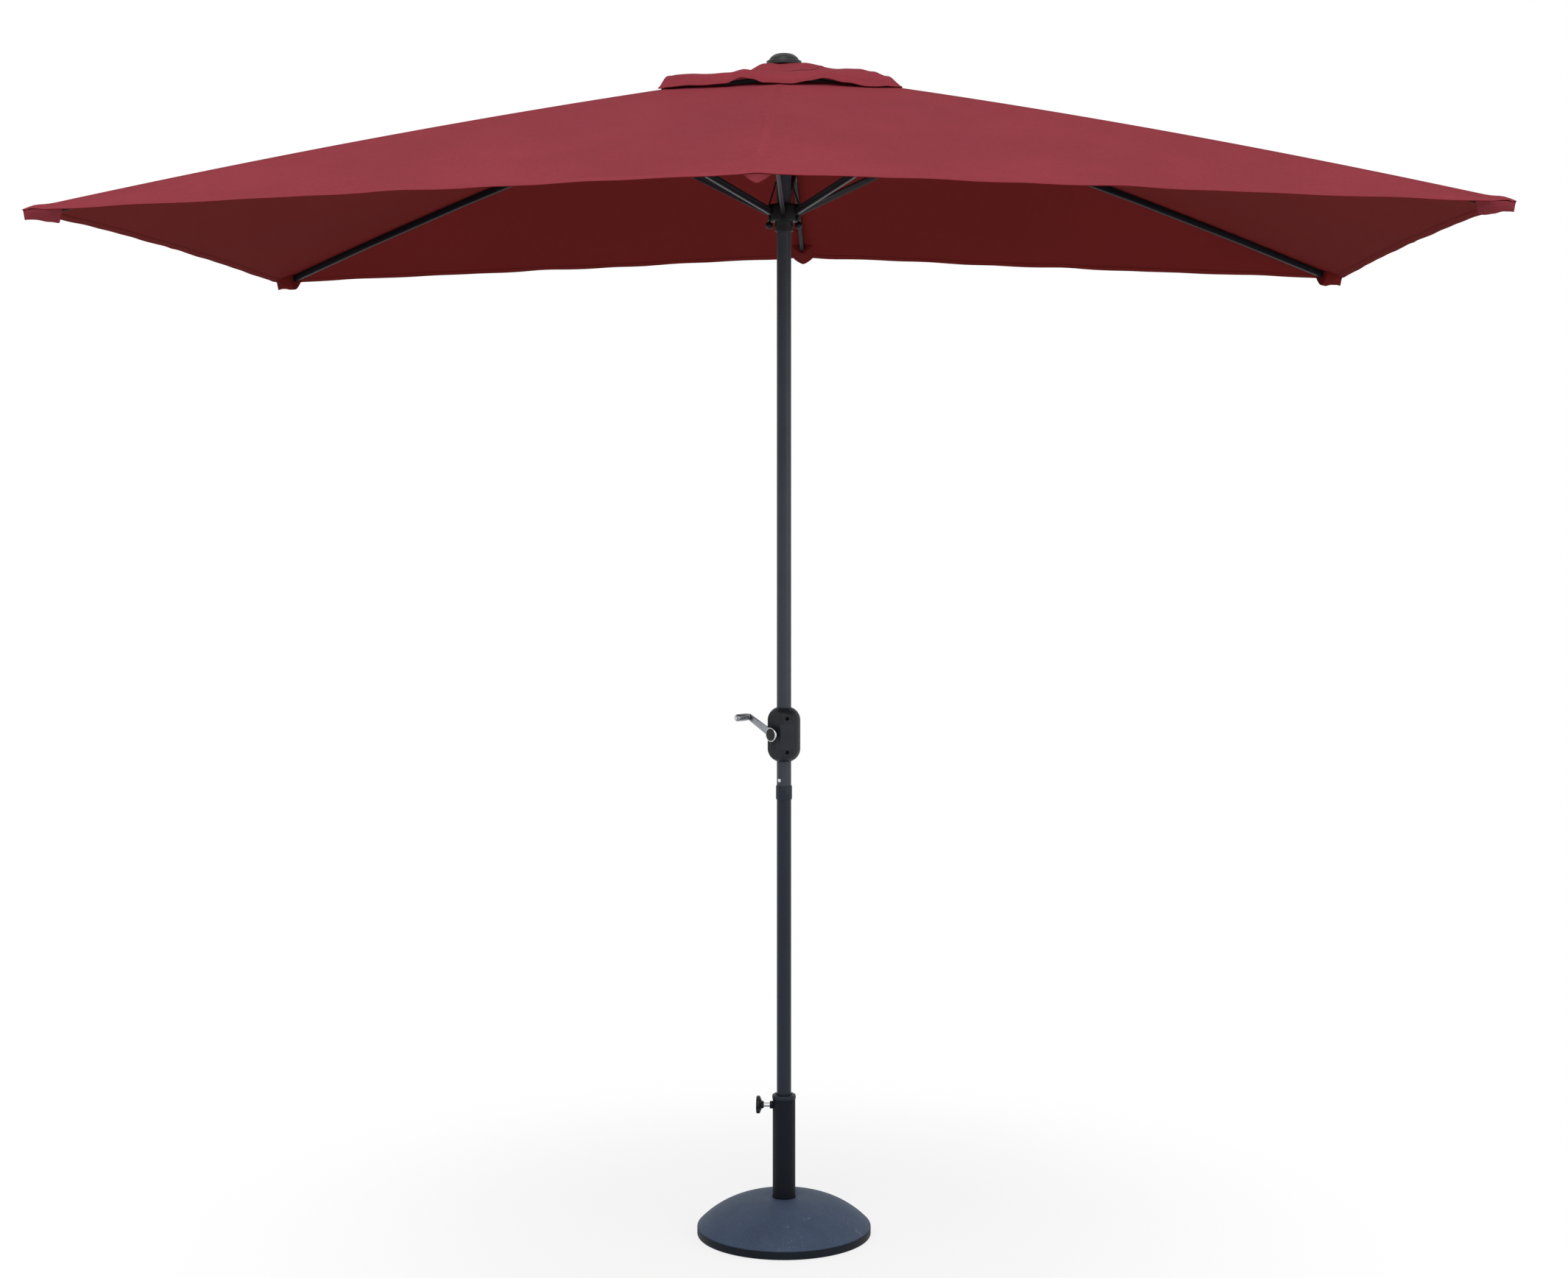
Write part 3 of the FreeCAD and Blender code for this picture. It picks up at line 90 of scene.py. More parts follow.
RIBS = {
    "front_left": (-1, -1),
    "front_middle": (0, -1),
    "front_right": (1, -1),
    "rear_right": (1, 1),
    "rear_middle": (0, 1),
    "rear_left": (-1, 1),
}
# the two kinds of rib: chord length, slope, bow, height of the cloth over the rib's middle line
CORNER_RIB = {"length": 1.7952747, "angle": math.radians(13.3482), "bow": 0.017, "rise": 0.0109974}
MIDDLE_RIB = {"length": 1.0050539, "angle": math.radians(20.0735), "bow": 0.010, "rise": 0.0098}
RIB_HEEL = 0.009
HUB_PIVOT = (0.036, 2.780)
HALF_LENGTH = 1.5
HALF_WIDTH = 1.0
VENT_SHARE = 0.1466
PANEL_BOW = 0.008
SIDE_HEM_RISE = 0.012
VENT_HEM = 0.014
RIB_SETBACK = 0.024
TIP_PULL = 0.45
CAP_SHARE = 0.19
CAP_TOP = 2.8150
CAP_FALL = 0.0745
# the reinforcing patch round the finial: where it starts out from the axis, and how wide it is
PATCH_START = 0.012
PATCH_WIDTH = 0.098
POCKET_MOUTH = 0.86
CLOTH = 0.0012
CORD_RADIUS = 0.0019
CORD_EXIT = 2.5300
RIM_TOP = 0.021
HOUSING_FRONT = math.radians(285)
CRANK_FRONT = math.radians(228)
# an edge that turns more than this many degrees is sharp
SHARP = 32.0
# points closer than this are one, on a sheet whose folds lie close together
FOLD_MERGE = 1e-7
# the Mix node's sockets for two colours
MIX_SOCKETS = (0, 6, 7)
MIX_RESULT = 2
UP = Vector((0, 0, 1))


# ---------------------------------------------------------------- colours and shader nodes
def srgb(red, green, blue):
    """A colour picked on a screen, 0 to 255, as the linear numbers that a socket takes."""
    def linear(value):
        value /= 255
        return value / 12.92 if value <= 0.04045 else ((value + 0.055) / 1.055) ** 2.4
    return (linear(red), linear(green), linear(blue), 1.0)


def put(tree, socket, value):
    """A socket set to a value, or joined to another socket."""
    if isinstance(value, bpy.types.NodeSocket):
        tree.links.new(value, socket)
    else:
        socket.default_value = value


def add(tree, kind, sockets=None, **settings):
    """A shader node with its settings, and its inputs set to numbers or joined to other sockets."""
    made = tree.nodes.new(f"ShaderNode{kind}")
    for name, value in settings.items():
        setattr(made, name, value)
    for name, value in (sockets or {}).items():
        put(tree, made.inputs[name], value)
    return made


def sums(tree, operation, first, second=0.0):
    """The result of one Math node."""
    return add(tree, "Math", {0: first, 1: second}, operation=operation).outputs[0]


def ramp(tree, value, low, high, start=0.0, end=1.0):
    """A value mapped smoothly from one range to another."""
    node = add(tree, "MapRange", {
        "Value": value, "From Min": low, "From Max": high, "To Min": start, "To Max": end,
    }, interpolation_type="SMOOTHSTEP")
    return node.outputs["Result"]


def blend_colours(tree, share, first, second):
    """Two colours mixed by a share."""
    node = add(tree, "Mix", data_type="RGBA")
    for place, value in zip(MIX_SOCKETS, (share, first, second)):
        put(tree, node.inputs[place], value)
    return node.outputs[MIX_RESULT]


def shader_group(name, inputs, outputs):
    """An empty node group with named sockets; each input is (name, kind, default)."""
    tree = bpy.data.node_groups.new(name, "ShaderNodeTree")
    for label, kind, default in inputs:
        socket = tree.interface.new_socket(label, in_out="INPUT", socket_type=f"NodeSocket{kind}")
        if default is not None:
            socket.default_value = default
    for label in outputs:
        tree.interface.new_socket(label, in_out="OUTPUT", socket_type="NodeSocketFloat")
    return tree, tree.nodes.new("NodeGroupInput"), tree.nodes.new("NodeGroupOutput")


def woven_cloth_group():
    """Plain weave: threads that pass over and under each other, with slubs along them."""
    tree, given, result = shader_group(
        "Woven cloth", [("Vector", "Vector", None), ("Threads", "Float", 900.0)], ["Height", "Tone"]
    )
    place = add(tree, "SeparateXYZ", {"Vector": given.outputs["Vector"]})
    across = sums(tree, "MULTIPLY", place.outputs["X"], given.outputs["Threads"])
    along = sums(tree, "MULTIPLY", place.outputs["Y"], given.outputs["Threads"])
    warp = sums(tree, "ABSOLUTE", sums(tree, "SINE", sums(tree, "MULTIPLY", across, math.pi)))
    weft = sums(tree, "ABSOLUTE", sums(tree, "SINE", sums(tree, "MULTIPLY", along, math.pi)))
    cell = add(tree, "CombineXYZ", {"X": across, "Y": along})
    over = add(tree, "TexChecker", {"Vector": cell.outputs[0], "Scale": 1.0})
    warp_part = sums(tree, "MULTIPLY", warp, over.outputs["Fac"])
    weft_part = sums(tree, "MULTIPLY", weft, sums(tree, "SUBTRACT", 1.0, over.outputs["Fac"]))
    height = sums(tree, "ADD", warp_part, weft_part)
    stretched = add(tree, "Mapping", {"Vector": given.outputs["Vector"], "Scale": (520.0, 22.0, 1.0)})
    other = add(tree, "Mapping", {"Vector": given.outputs["Vector"], "Scale": (22.0, 520.0, 1.0)})
    slubs = add(tree, "TexNoise", {"Vector": stretched.outputs[0], "Scale": 1.0, "Detail": 2.0})
    ribs = add(tree, "TexNoise", {"Vector": other.outputs[0], "Scale": 1.0, "Detail": 2.0})
    tone = sums(tree, "MULTIPLY", sums(tree, "ADD", slubs.outputs["Fac"], ribs.outputs["Fac"]), 0.5)
    tree.links.new(height, result.inputs["Height"])
    tree.links.new(tone, result.inputs["Tone"])
    return tree


def mottle_group():
    """Broad soft patches, as sun and weather leave them."""
    tree, given, result = shader_group(
        "Weather mottle", [("Vector", "Vector", None), ("Scale", "Float", 3.0)], ["Tone"]
    )
    broad = add(tree, "TexNoise", {
        "Vector": given.outputs["Vector"], "Scale": given.outputs["Scale"], "Detail": 5.0, "Roughness": 0.62,
    })
    tree.links.new(ramp(tree, broad.outputs["Fac"], 0.3, 0.7), result.inputs["Tone"])
    return tree


def grain_group():
    """Fine even grain, as on powder coat or moulded plastic."""
    tree, given, result = shader_group(
        "Fine grain", [("Vector", "Vector", None), ("Scale", "Float", 900.0)], ["Height", "Tone"]
    )
    fine = add(tree, "TexNoise", {
        "Vector": given.outputs["Vector"], "Scale": given.outputs["Scale"], "Detail": 3.0, "Roughness": 0.55,
    })
    pits = add(tree, "TexVoronoi", {
        "Vector": given.outputs["Vector"], "Scale": sums(tree, "MULTIPLY", given.outputs["Scale"], 0.45),
    })
    rounded = ramp(tree, pits.outputs["Distance"], 0.0, 0.6)
    height = sums(tree, "ADD", sums(tree, "MULTIPLY", fine.outputs["Fac"], 0.6),
                  sums(tree, "MULTIPLY", rounded, 0.4))
    tree.links.new(height, result.inputs["Height"])
    tree.links.new(fine.outputs["Fac"], result.inputs["Tone"])
    return tree


def scuff_group():
    """Small scattered marks: thin scratches and chips, gathered in a few patches."""
    tree, given, result = shader_group(
        "Scuffs", [("Vector", "Vector", None), ("Scale", "Float", 60.0), ("Amount", "Float", 0.5)], ["Mask"]
    )
    patches = add(tree, "TexNoise", {
        "Vector": given.outputs["Vector"], "Scale": sums(tree, "MULTIPLY", given.outputs["Scale"], 0.12),
        "Detail": 2.0,
    })
    marks = add(tree, "TexNoise", {
        "Vector": given.outputs["Vector"], "Scale": given.outputs["Scale"], "Detail": 6.0, "Roughness": 0.75,
        "Distortion": 1.4,
    })
    gathered = ramp(tree, patches.outputs["Fac"], 0.56, 0.72)
    thin = ramp(tree, marks.outputs["Fac"], 0.60, 0.68)
    mask = sums(tree, "MULTIPLY", sums(tree, "MULTIPLY", gathered, thin), given.outputs["Amount"])
    tree.links.new(mask, result.inputs["Mask"])
    return tree


def stitch_group():
    """A row of stitches along U at a place across V; U and V are in metres."""
    tree, given, result = shader_group(
        "Stitch row",
        [("Vector", "Vector", None), ("Row", "Float", 0.015), ("Pitch", "Float", 0.0032),
         ("Width", "Float", 0.0006)],
        ["Mask", "Height"],
    )
    place = add(tree, "SeparateXYZ", {"Vector": given.outputs["Vector"]})
    step = sums(tree, "FRACT", sums(tree, "DIVIDE", place.outputs["X"], given.outputs["Pitch"]))
    from_middle = sums(tree, "ABSOLUTE", sums(tree, "SUBTRACT", step, 0.5))
    dash = sums(tree, "SUBTRACT", 1.0, ramp(tree, from_middle, 0.3, 0.4))
    away = sums(tree, "ABSOLUTE", sums(tree, "SUBTRACT", place.outputs["Y"], given.outputs["Row"]))
    share = sums(tree, "DIVIDE", away, given.outputs["Width"])
    band = sums(tree, "SUBTRACT", 1.0, ramp(tree, share, 0.5, 1.0))
    dimple = sums(tree, "SUBTRACT", 1.0, ramp(tree, share, 0.5, 4.0))
    mask = sums(tree, "MULTIPLY", dash, band)
    height = sums(tree, "SUBTRACT", mask, sums(tree, "MULTIPLY", dimple, 0.6))
    tree.links.new(mask, result.inputs["Mask"])
    tree.links.new(height, result.inputs["Height"])
    return tree


GROUPS = {}


def effect(tree, name, **sockets):
    """One of the shared effects, placed in a material with its own values."""
    node = tree.nodes.new("ShaderNodeGroup")
    node.node_tree = GROUPS[name]
    for label, value in sockets.items():
        put(tree, node.inputs[label], value)
    return node


def new_material(name, **sockets):
    """A material with only a Principled BSDF, its plain values set on its own sockets."""
    material = bpy.data.materials.new(name)
    material.use_nodes = True
    tree = material.node_tree
    tree.nodes.clear()
    surface = add(tree, "BsdfPrincipled", {label.replace("_", " "): value for label, value in sockets.items()})
    output = tree.nodes.new("ShaderNodeOutputMaterial")
    tree.links.new(surface.outputs[0], output.inputs["Surface"])
    return material, tree, surface


def bump(tree, surface, height, distance, strength=1.0):
    """Joins a height, in shares of a distance in metres, to the surface's normal."""
    node = add(tree, "Bump", {"Height": height, "Distance": distance, "Strength": strength})
    tree.links.new(node.outputs[0], surface.inputs["Normal"])


def darker(colour, share):
    """A colour with its red, green and blue times a share."""
    return tuple(value * share for value in colour[:3]) + (1.0,)


def cloth_material(name, colour, stitch_rows=(), fade=0.16):
    """Solution-dyed polyester: a plain weave, slightly faded in broad patches, with rows of stitches on hems."""
    material, tree, surface = new_material(name, Roughness=0.92, Specular_IOR_Level=0.06)
    flat = add(tree, "UVMap", uv_map="UVMap").outputs[0]
    weave = effect(tree, "Woven cloth", Vector=flat, Threads=850.0)
    mottle = effect(tree, "Weather mottle", Vector=flat, Scale=2.2)
    fine = effect(tree, "Weather mottle", Vector=flat, Scale=95.0)
    tone = sums(tree, "ADD", sums(tree, "MULTIPLY", mottle.outputs["Tone"], 0.45),
                sums(tree, "MULTIPLY", fine.outputs["Tone"], 0.30))
    tone = sums(tree, "ADD", tone, sums(tree, "MULTIPLY", ramp(tree, weave.outputs["Tone"], 0.35, 0.65), 0.25))
    painted = blend_colours(tree, tone, darker(colour, 1 - fade), darker(colour, 1 + fade))
    # painted shade: the colour darkens where the weave lies low, in the gaps between the threads
    thread_gap_shade = sums(tree, "SUBTRACT", 1.0, ramp(tree, weave.outputs["Height"], 0.05, 0.6))
    painted = blend_colours(tree, sums(tree, "MULTIPLY", thread_gap_shade, 0.30), painted, darker(colour, 0.45))
    height = weave.outputs["Height"]
    for row in stitch_rows:
        stitch = effect(tree, "Stitch row", Vector=flat, Row=row)
        painted = blend_colours(tree, stitch.outputs["Mask"], painted, darker(colour, 1.15))
        height = sums(tree, "ADD", height, sums(tree, "MULTIPLY", stitch.outputs["Height"], 1.4))
    tree.links.new(painted, surface.inputs["Base Color"])
    bump(tree, surface, height, 0.00022, 0.55)
    return material


def coated_metal(name, colour, roughness=0.42, gloss=0.3):
    """Powder-coated metal: fine orange peel, with faint handling marks."""
    material, tree, surface = new_material(name, Specular_IOR_Level=gloss)
    place = add(tree, "TexCoord").outputs["Object"]
    grain = effect(tree, "Fine grain", Vector=place, Scale=1100.0)
    mottle = effect(tree, "Weather mottle", Vector=place, Scale=9.0)
    scuffs = effect(tree, "Scuffs", Vector=place, Scale=120.0, Amount=0.35)
    painted = blend_colours(tree, mottle.outputs["Tone"], darker(colour, 0.88), darker(colour, 1.12))
    painted = blend_colours(tree, sums(tree, "MULTIPLY", ramp(tree, grain.outputs["Tone"], 0.35, 0.7), 0.22),
                            painted, darker(colour, 1.7))
    painted = blend_colours(tree, scuffs.outputs["Mask"], painted, darker(colour, 3.0))
    tree.links.new(painted, surface.inputs["Base Color"])
    rough = ramp(tree, grain.outputs["Tone"], 0.3, 0.7, roughness - 0.05, roughness + 0.09)
    tree.links.new(rough, surface.inputs["Roughness"])
    bump(tree, surface, grain.outputs["Height"], 0.00016, 0.5)
    return material


def moulded_plastic(name, colour, roughness=0.5, scale=750.0):
    """Spark-textured injection moulding."""
    material, tree, surface = new_material(name, Specular_IOR_Level=0.25)
    place = add(tree, "TexCoord").outputs["Object"]
    grain = effect(tree, "Fine grain", Vector=place, Scale=scale)
    mottle = effect(tree, "Weather mottle", Vector=place, Scale=14.0)
    scuffs = effect(tree, "Scuffs", Vector=place, Scale=180.0, Amount=0.4)
    painted = blend_colours(tree, mottle.outputs["Tone"], darker(colour, 0.86), darker(colour, 1.15))
    painted = blend_colours(tree, scuffs.outputs["Mask"], painted, darker(colour, 2.6))
    tree.links.new(painted, surface.inputs["Base Color"])
    rough = ramp(tree, grain.outputs["Height"], 0.3, 0.7, roughness - 0.07, roughness + 0.1)
    tree.links.new(rough, surface.inputs["Roughness"])
    bump(tree, surface, grain.outputs["Height"], 0.0002, 0.6)
    return material


def bare_metal(name, colour, roughness, scratch=0.12, tarnish=0.7):
    """Plated metal with fine wiping scratches and a little tarnish."""
    material, tree, surface = new_material(name, Metallic=1.0)
    place = add(tree, "TexCoord").outputs["Object"]
    drawn = add(tree, "Mapping", {"Vector": place, "Scale": (40.0, 40.0, 900.0)})
    lines = add(tree, "TexNoise", {"Vector": drawn.outputs[0], "Scale": 1.0, "Detail": 4.0})
    spots = effect(tree, "Scuffs", Vector=place, Scale=420.0, Amount=tarnish)
    mottle = effect(tree, "Weather mottle", Vector=place, Scale=45.0)
    painted = blend_colours(tree, mottle.outputs["Tone"], darker(colour, 0.86), colour)
    painted = blend_colours(tree, spots.outputs["Mask"], painted, darker(colour, 0.35))
    tree.links.new(painted, surface.inputs["Base Color"])
    rough = ramp(tree, lines.outputs["Fac"], 0.3, 0.7, roughness, roughness + scratch)
    tree.links.new(rough, surface.inputs["Roughness"])
    bump(tree, surface, lines.outputs["Fac"], 0.00003, 0.35)
    return material


def seen_rays(tree):
    """One where a ray from the camera, or one mirrored or let through by the object, arrives."""
    rays = add(tree, "LightPath")
    mirrored = sums(tree, "MAXIMUM", rays.outputs["Is Glossy Ray"], rays.outputs["Is Transmission Ray"])
    return sums(tree, "MAXIMUM", rays.outputs["Is Camera Ray"], mirrored)


def cast_resin(name, top, rim):
    """Cast resin: a slate dome with pale scuffs, and a darker rim with chipped spots."""
    material, tree, surface = new_material(name, Specular_IOR_Level=0.16)
    place = add(tree, "TexCoord").outputs["Object"]
    height = add(tree, "SeparateXYZ", {"Vector": place}).outputs["Z"]
    grain = effect(tree, "Fine grain", Vector=place, Scale=420.0)
    mottle = effect(tree, "Weather mottle", Vector=place, Scale=11.0)
    fine = effect(tree, "Weather mottle", Vector=place, Scale=160.0)
    scuffs = effect(tree, "Scuffs", Vector=place, Scale=50.0, Amount=1.0)
    chips = effect(tree, "Scuffs", Vector=place, Scale=190.0, Amount=1.0)
    dome = blend_colours(tree, mottle.outputs["Tone"], darker(top, 0.86), darker(top, 1.1))
    dome = blend_colours(tree, sums(tree, "MULTIPLY", fine.outputs["Tone"], 0.35), dome, darker(top, 1.35))
    dome = blend_colours(tree, scuffs.outputs["Mask"], dome, srgb(150, 158, 165))
    specks = effect(tree, "Scuffs", Vector=place, Scale=130.0, Amount=0.8)
    dome = blend_colours(tree, specks.outputs["Mask"], dome, srgb(176, 182, 186))
    edge = blend_colours(tree, mottle.outputs["Tone"], darker(rim, 0.8), darker(rim, 1.2))
    edge = blend_colours(tree, chips.outputs["Mask"], edge, srgb(170, 172, 176))
    over_rim = ramp(tree, height, RIM_TOP - 0.0015, RIM_TOP + 0.0015)
    tree.links.new(blend_colours(tree, over_rim, edge, dome), surface.inputs["Base Color"])
    rough = ramp(tree, grain.outputs["Tone"], 0.3, 0.7, 0.52, 0.68)
    tree.links.new(rough, surface.inputs["Roughness"])
    bump(tree, surface, grain.outputs["Height"], 0.0005, 0.5)
    return material


def braided_cord(name, colour):
    """Braided polyester cord: two sets of strands crossing at a slant, on its own UV map."""
    material, tree, surface = new_material(name, Roughness=0.85, Specular_IOR_Level=0.1)
    flat = add(tree, "UVMap", uv_map="UVMap").outputs[0]
    slant = add(tree, "Mapping", {
        "Vector": flat, "Rotation": (0, 0, math.radians(35)), "Scale": (650.0, 650.0, 1),
    })
    strands = effect(tree, "Woven cloth", Vector=slant.outputs[0], Threads=1.0)
    # painted shade and highlight: the cord darkens in the grooves between strands and lightens on their crowns
    painted = blend_colours(tree, strands.outputs["Height"], darker(colour, 0.5), darker(colour, 1.25))
    tree.links.new(painted, surface.inputs["Base Color"])
    bump(tree, surface, strands.outputs["Height"], 0.0003, 0.8)
    return material


MATERIALS = {}


# ---------------------------------------------------------------- the canopy's shape
def ridge_height(kind, radius):
    """Height of the cloth's top over a rib, at a distance from the pole's axis."""
    chord = kind["length"] + RIB_HEEL
    arc = (chord**2 / 4 + kind["bow"] ** 2) / (2 * kind["bow"])
    along, down = chord / 2 - RIB_HEEL, arc - kind["bow"]
    out = HUB_PIVOT[0] + along * math.cos(kind["angle"]) - down * math.sin(kind["angle"])
    up = HUB_PIVOT[1] - along * math.sin(kind["angle"]) - down * math.cos(kind["angle"])
    return up + math.sqrt((arc + kind["rise"]) ** 2 - (radius - out) ** 2)


def ridge_pair(x, y):
    """Where a plan point lies on its panel.

    Its share of the way out, the heights of the panel's two ridges there, its share of the way between them, and
    how much higher the middle of that panel's hem stands.
    """
    share = max(abs(x) / HALF_LENGTH, abs(y) / HALF_WIDTH, 1e-6)
    corner = ridge_height(CORNER_RIB, share * math.hypot(HALF_LENGTH, HALF_WIDTH))
    if abs(y) / HALF_WIDTH >= abs(x) / HALF_LENGTH:
        middle = ridge_height(MIDDLE_RIB, share * HALF_WIDTH)
        return share, middle, corner, min(1.0, abs(x) / (HALF_LENGTH * share)), 0.0
    between = min(1.0, max(0.0, (y / (HALF_WIDTH * share) + 1) / 2))
    return share, corner, corner, between, SIDE_HEM_RISE


def taut_height(x, y):
    """The tensioned cloth's top: each panel hangs between its two ridges and sags a little between them."""
    share, first, second, between, hem_rise = ridge_pair(x, y)
    along = min(1.0, max(0.0, (share - VENT_SHARE) / (1 - VENT_SHARE)))
    ends = []
    for place in (VENT_SHARE, 1.0):
        _, one, two, _, _ = ridge_pair(x / share * place, y / share * place)
        ends.append((one + two) / 2)
    middle = ends[0] * (1 - along) + (ends[1] + hem_rise) * along + PANEL_BOW * 4 * along * (1 - along)
    drop = (first + second) / 2 - middle
    return first * (1 - between) + second * between - 4 * between * (1 - between) * drop


def rib_kind(rib):
    """Whether a rib runs out to a corner or to the middle of a long side."""
    return "corner" if RIBS[rib][0] else "middle"


def rib_tip(rib):
    """Where a rib's end lifts the cloth, in plan."""
    a, b = RIBS[rib]
    out = Vector((a * HALF_LENGTH, b * HALF_WIDTH))
    return out * (1 - RIB_SETBACK / out.length)


def wrinkles(x, y):
    """Small folds in the taut cloth: puckers at the seams, pulls at the rib ends, flutter along the hem."""
    share, _, _, between, _ = ridge_pair(x, y)
    radius = math.hypot(x, y)
    front = abs(y) / HALF_WIDTH >= abs(x) / HALF_LENGTH
    if front:
        width = HALF_LENGTH * share
        near = min(between, 1 - between) * width
        hem = (1 - share) * HALF_WIDTH
        run = abs(x)
    else:
        near = min(between, 1 - between) * 2 * HALF_WIDTH * share
        hem = (1 - share) * HALF_LENGTH
        run = abs(y)
    swell = noise.noise(Vector((x * 1.7, y * 1.7, 3.1)))
    lift = 0.0022 * swell * min(1.0, near / 0.12)
    pucker = math.sin(radius * 2 * math.pi / 0.052 + 4 * noise.noise(Vector((radius * 6, near, 1.0))))
    lift += 0.0006 * pucker * math.exp(-near / 0.035) * min(1.0, near / 0.010)
    flutter = noise.noise(Vector((run * 7.5, 0.2 * hem, 11.0 if front else 17.0)))
    lift += 0.0030 * flutter * math.exp(-hem / 0.055) * min(1.0, near / 0.10)
    for rib in RIBS:
        tip = rib_tip(rib)
        dx, dy = x - tip.x, y - tip.y
        away = math.hypot(dx, dy)
        if away > TIP_PULL:
            continue
        lift += 0.0042 * math.exp(-((away / 0.021) ** 2))
        pull = math.sin(math.atan2(dy, dx) * 13) * away / TIP_PULL
        lift += 0.0030 * pull * math.exp(-away / 0.16) * min(1.0, near / 0.03)
    # the pull from the vent's corners across the panels
    away = max(0.0, share - VENT_SHARE)
    crease = noise.noise(Vector((x * 3.2 + y * 9.0, y * 3.2 - x * 6.0, 7.7)))
    lift += 0.0034 * crease * math.exp(-away / 0.16) * min(1.0, near / 0.05)
    return lift


def canopy_point(x, y, above=0.0):
    """A point on the canopy's top cloth, or a distance above it."""
    return Vector((x, y, taut_height(x, y) + wrinkles(x, y) + above))


def sector_sides(rib):
    """The plan corner of a rib and those of its two neighbours, for a canopy of half sizes one."""
    a, b = RIBS[rib]
    own = Vector((a * HALF_LENGTH, b * HALF_WIDTH))
    others = [(0, b), (a, -b)] if a else [(-1, b), (1, b)]
    return own, [Vector((p * HALF_LENGTH, q * HALF_WIDTH)) for p, q in others]


def rib_direction(rib):
    """The plan direction of a rib, and the level direction across it."""
    a, b = RIBS[rib]
    out = Vector((a * HALF_LENGTH, b * HALF_WIDTH, 0)).normalized()
    return out, UP.cross(out)


# ---------------------------------------------------------------- mesh helpers
def finish_mesh(name, bm, materials, body, crease=38.0):
    """Makes an object of a bmesh, shades it, and lets it ride on a body."""
    mesh = bpy.data.meshes.new(name)
    bm.edges.index_update()
    rims = [edge.index for edge in bm.edges if edge.is_boundary]
    bm.to_mesh(mesh)
    bm.free()
    for label in ("custom_normal", "sharp_face"):
        found = mesh.attributes.get(label)
        if found:
            mesh.attributes.remove(found)
    for material in materials:
        mesh.materials.append(MATERIALS[material])
    made = bpy.data.objects.new(name, mesh)
    bpy.context.scene.collection.objects.link(made)
    mesh.polygons.foreach_set("use_smooth", [True] * len(mesh.polygons))
    mesh.set_sharp_from_angle(angle=math.radians(crease))
    for index in rims:
        mesh.edges[index].use_edge_sharp = True
    if body:
        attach(made, body)
    return made


def running(points):
    """The distance along a line from its first point to each of its points."""
    total = [0.0]
    for one, two in zip(points, points[1:]):
        total.append(total[-1] + math.dist(one, two))
    return total


def pick(values, share):
    """The value at a share of the way along a list."""
    return values[round(share * (len(values) - 1))]


def round_edges(bm, edges, width, segments=2):
    """Rounds the edges over."""
    bmesh.ops.bevel(bm, geom=edges, offset=width, offset_type="OFFSET", affect="EDGES", segments=segments,
                    profile=0.5, material=-1, clamp_overlap=True)


def grid(columns, rows, place, flat):
    """A grid whose points go where place(u, v) says, with u and v from 0 to 1; flat(u, v) gives its UV."""
    bm = bmesh.new()
    bmesh.ops.create_grid(bm, x_segments=columns, y_segments=rows, size=0.5)
    layer = bm.loops.layers.uv.new("UVMap")
    shares = {vert: (vert.co.x + 0.5, vert.co.y + 0.5) for vert in bm.verts}
    for face in bm.faces:
        for loop in face.loops:
            u, v = shares[loop.vert]
            loop[layer].uv = flat(u, v)
    for vert, (u, v) in shares.items():
        vert.co = place(u, v)
    return bm


def add_grids(parts):
    """One bmesh of several."""
    whole = parts[0]
    for part in parts[1:]:
        mesh = bpy.data.meshes.new("part")
        part.to_mesh(mesh)
        part.free()
        whole.from_mesh(mesh)
        bpy.data.meshes.remove(mesh)
    return whole


def up_facing(bm, merge=1e-5):
    """Joins touching edges and turns the open sheet's faces the same way, most of them up."""
    bmesh.ops.remove_doubles(bm, verts=bm.verts, dist=merge)
    bmesh.ops.recalc_face_normals(bm, faces=bm.faces)
    if sum(face.normal.z * face.calc_area() for face in bm.faces) < 0:
        bmesh.ops.reverse_faces(bm, faces=bm.faces)


def thicken(made, thickness, offset=-1.0, inner=0):
    """A live Solidify; inner is how far down the slots the inner face's material is."""
    wall = made.modifiers.new("Cloth thickness", "SOLIDIFY")
    wall.thickness = thickness
    wall.offset = offset
    wall.use_even_offset = True
    wall.material_offset = inner


def fold_with_rib(made):
    """The piece gets its own copy of its mesh."""
    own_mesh(made)


# ---------------------------------------------------------------- soft pieces
def out_share(p):
    """Share of the way from vent to hem, closer together at both ends."""
    return VENT_SHARE + (1 - VENT_SHARE) * (0.45 * p + 0.55 * (1 - math.cos(math.pi * p)) / 2)


def side_share(q):
    """Share of the way from a rib to its neighbour, up to half way, closer together near the rib."""
    return 0.5 * (0.35 * q + 0.65 * q * q)


def build_sector(rib, columns, rows):
    """One rib's sector of the canopy cloth, from half way to each neighbour."""
    own, others = sector_sides(rib)
    halves = []
    for other in others:
        def plan(u, v, other=other):
            return own.lerp(other, side_share(u)) * out_share(v)
        halves.append(grid(
            columns, rows,
            lambda u, v: canopy_point(*plan(u, v)),
            lambda u, v: tuple(plan(u, v)),
        ))
    bm = add_grids(halves)
    up_facing(bm)
    area = sum(face.calc_area() for face in bm.faces)
    # the inner face takes the underside material, which is painted shade
    made = finish_mesh(f"cloth_{rib}", bm, ["cloth_top", "cloth_under_painted_shade"], f"rib_{rib}", crease=60)
    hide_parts(f"canopy_{rib}")
    fold_with_rib(made)
    thicken(made, CLOTH, inner=1)
    return made, area


def edge_frames(rib, place, count):
    """Points along the sector's rim at a share of the way out, from one neighbour's side to the other's."""
    own, others = sector_sides(rib)
    ends = [own.lerp(other, 0.5) * place for other in others]
    points = []
    for start, end in ((ends[0], own * place), (own * place, ends[1])):
        for k in range(count):
            points.append(start.lerp(end, k / count))
    points.append(ends[1])
    return points


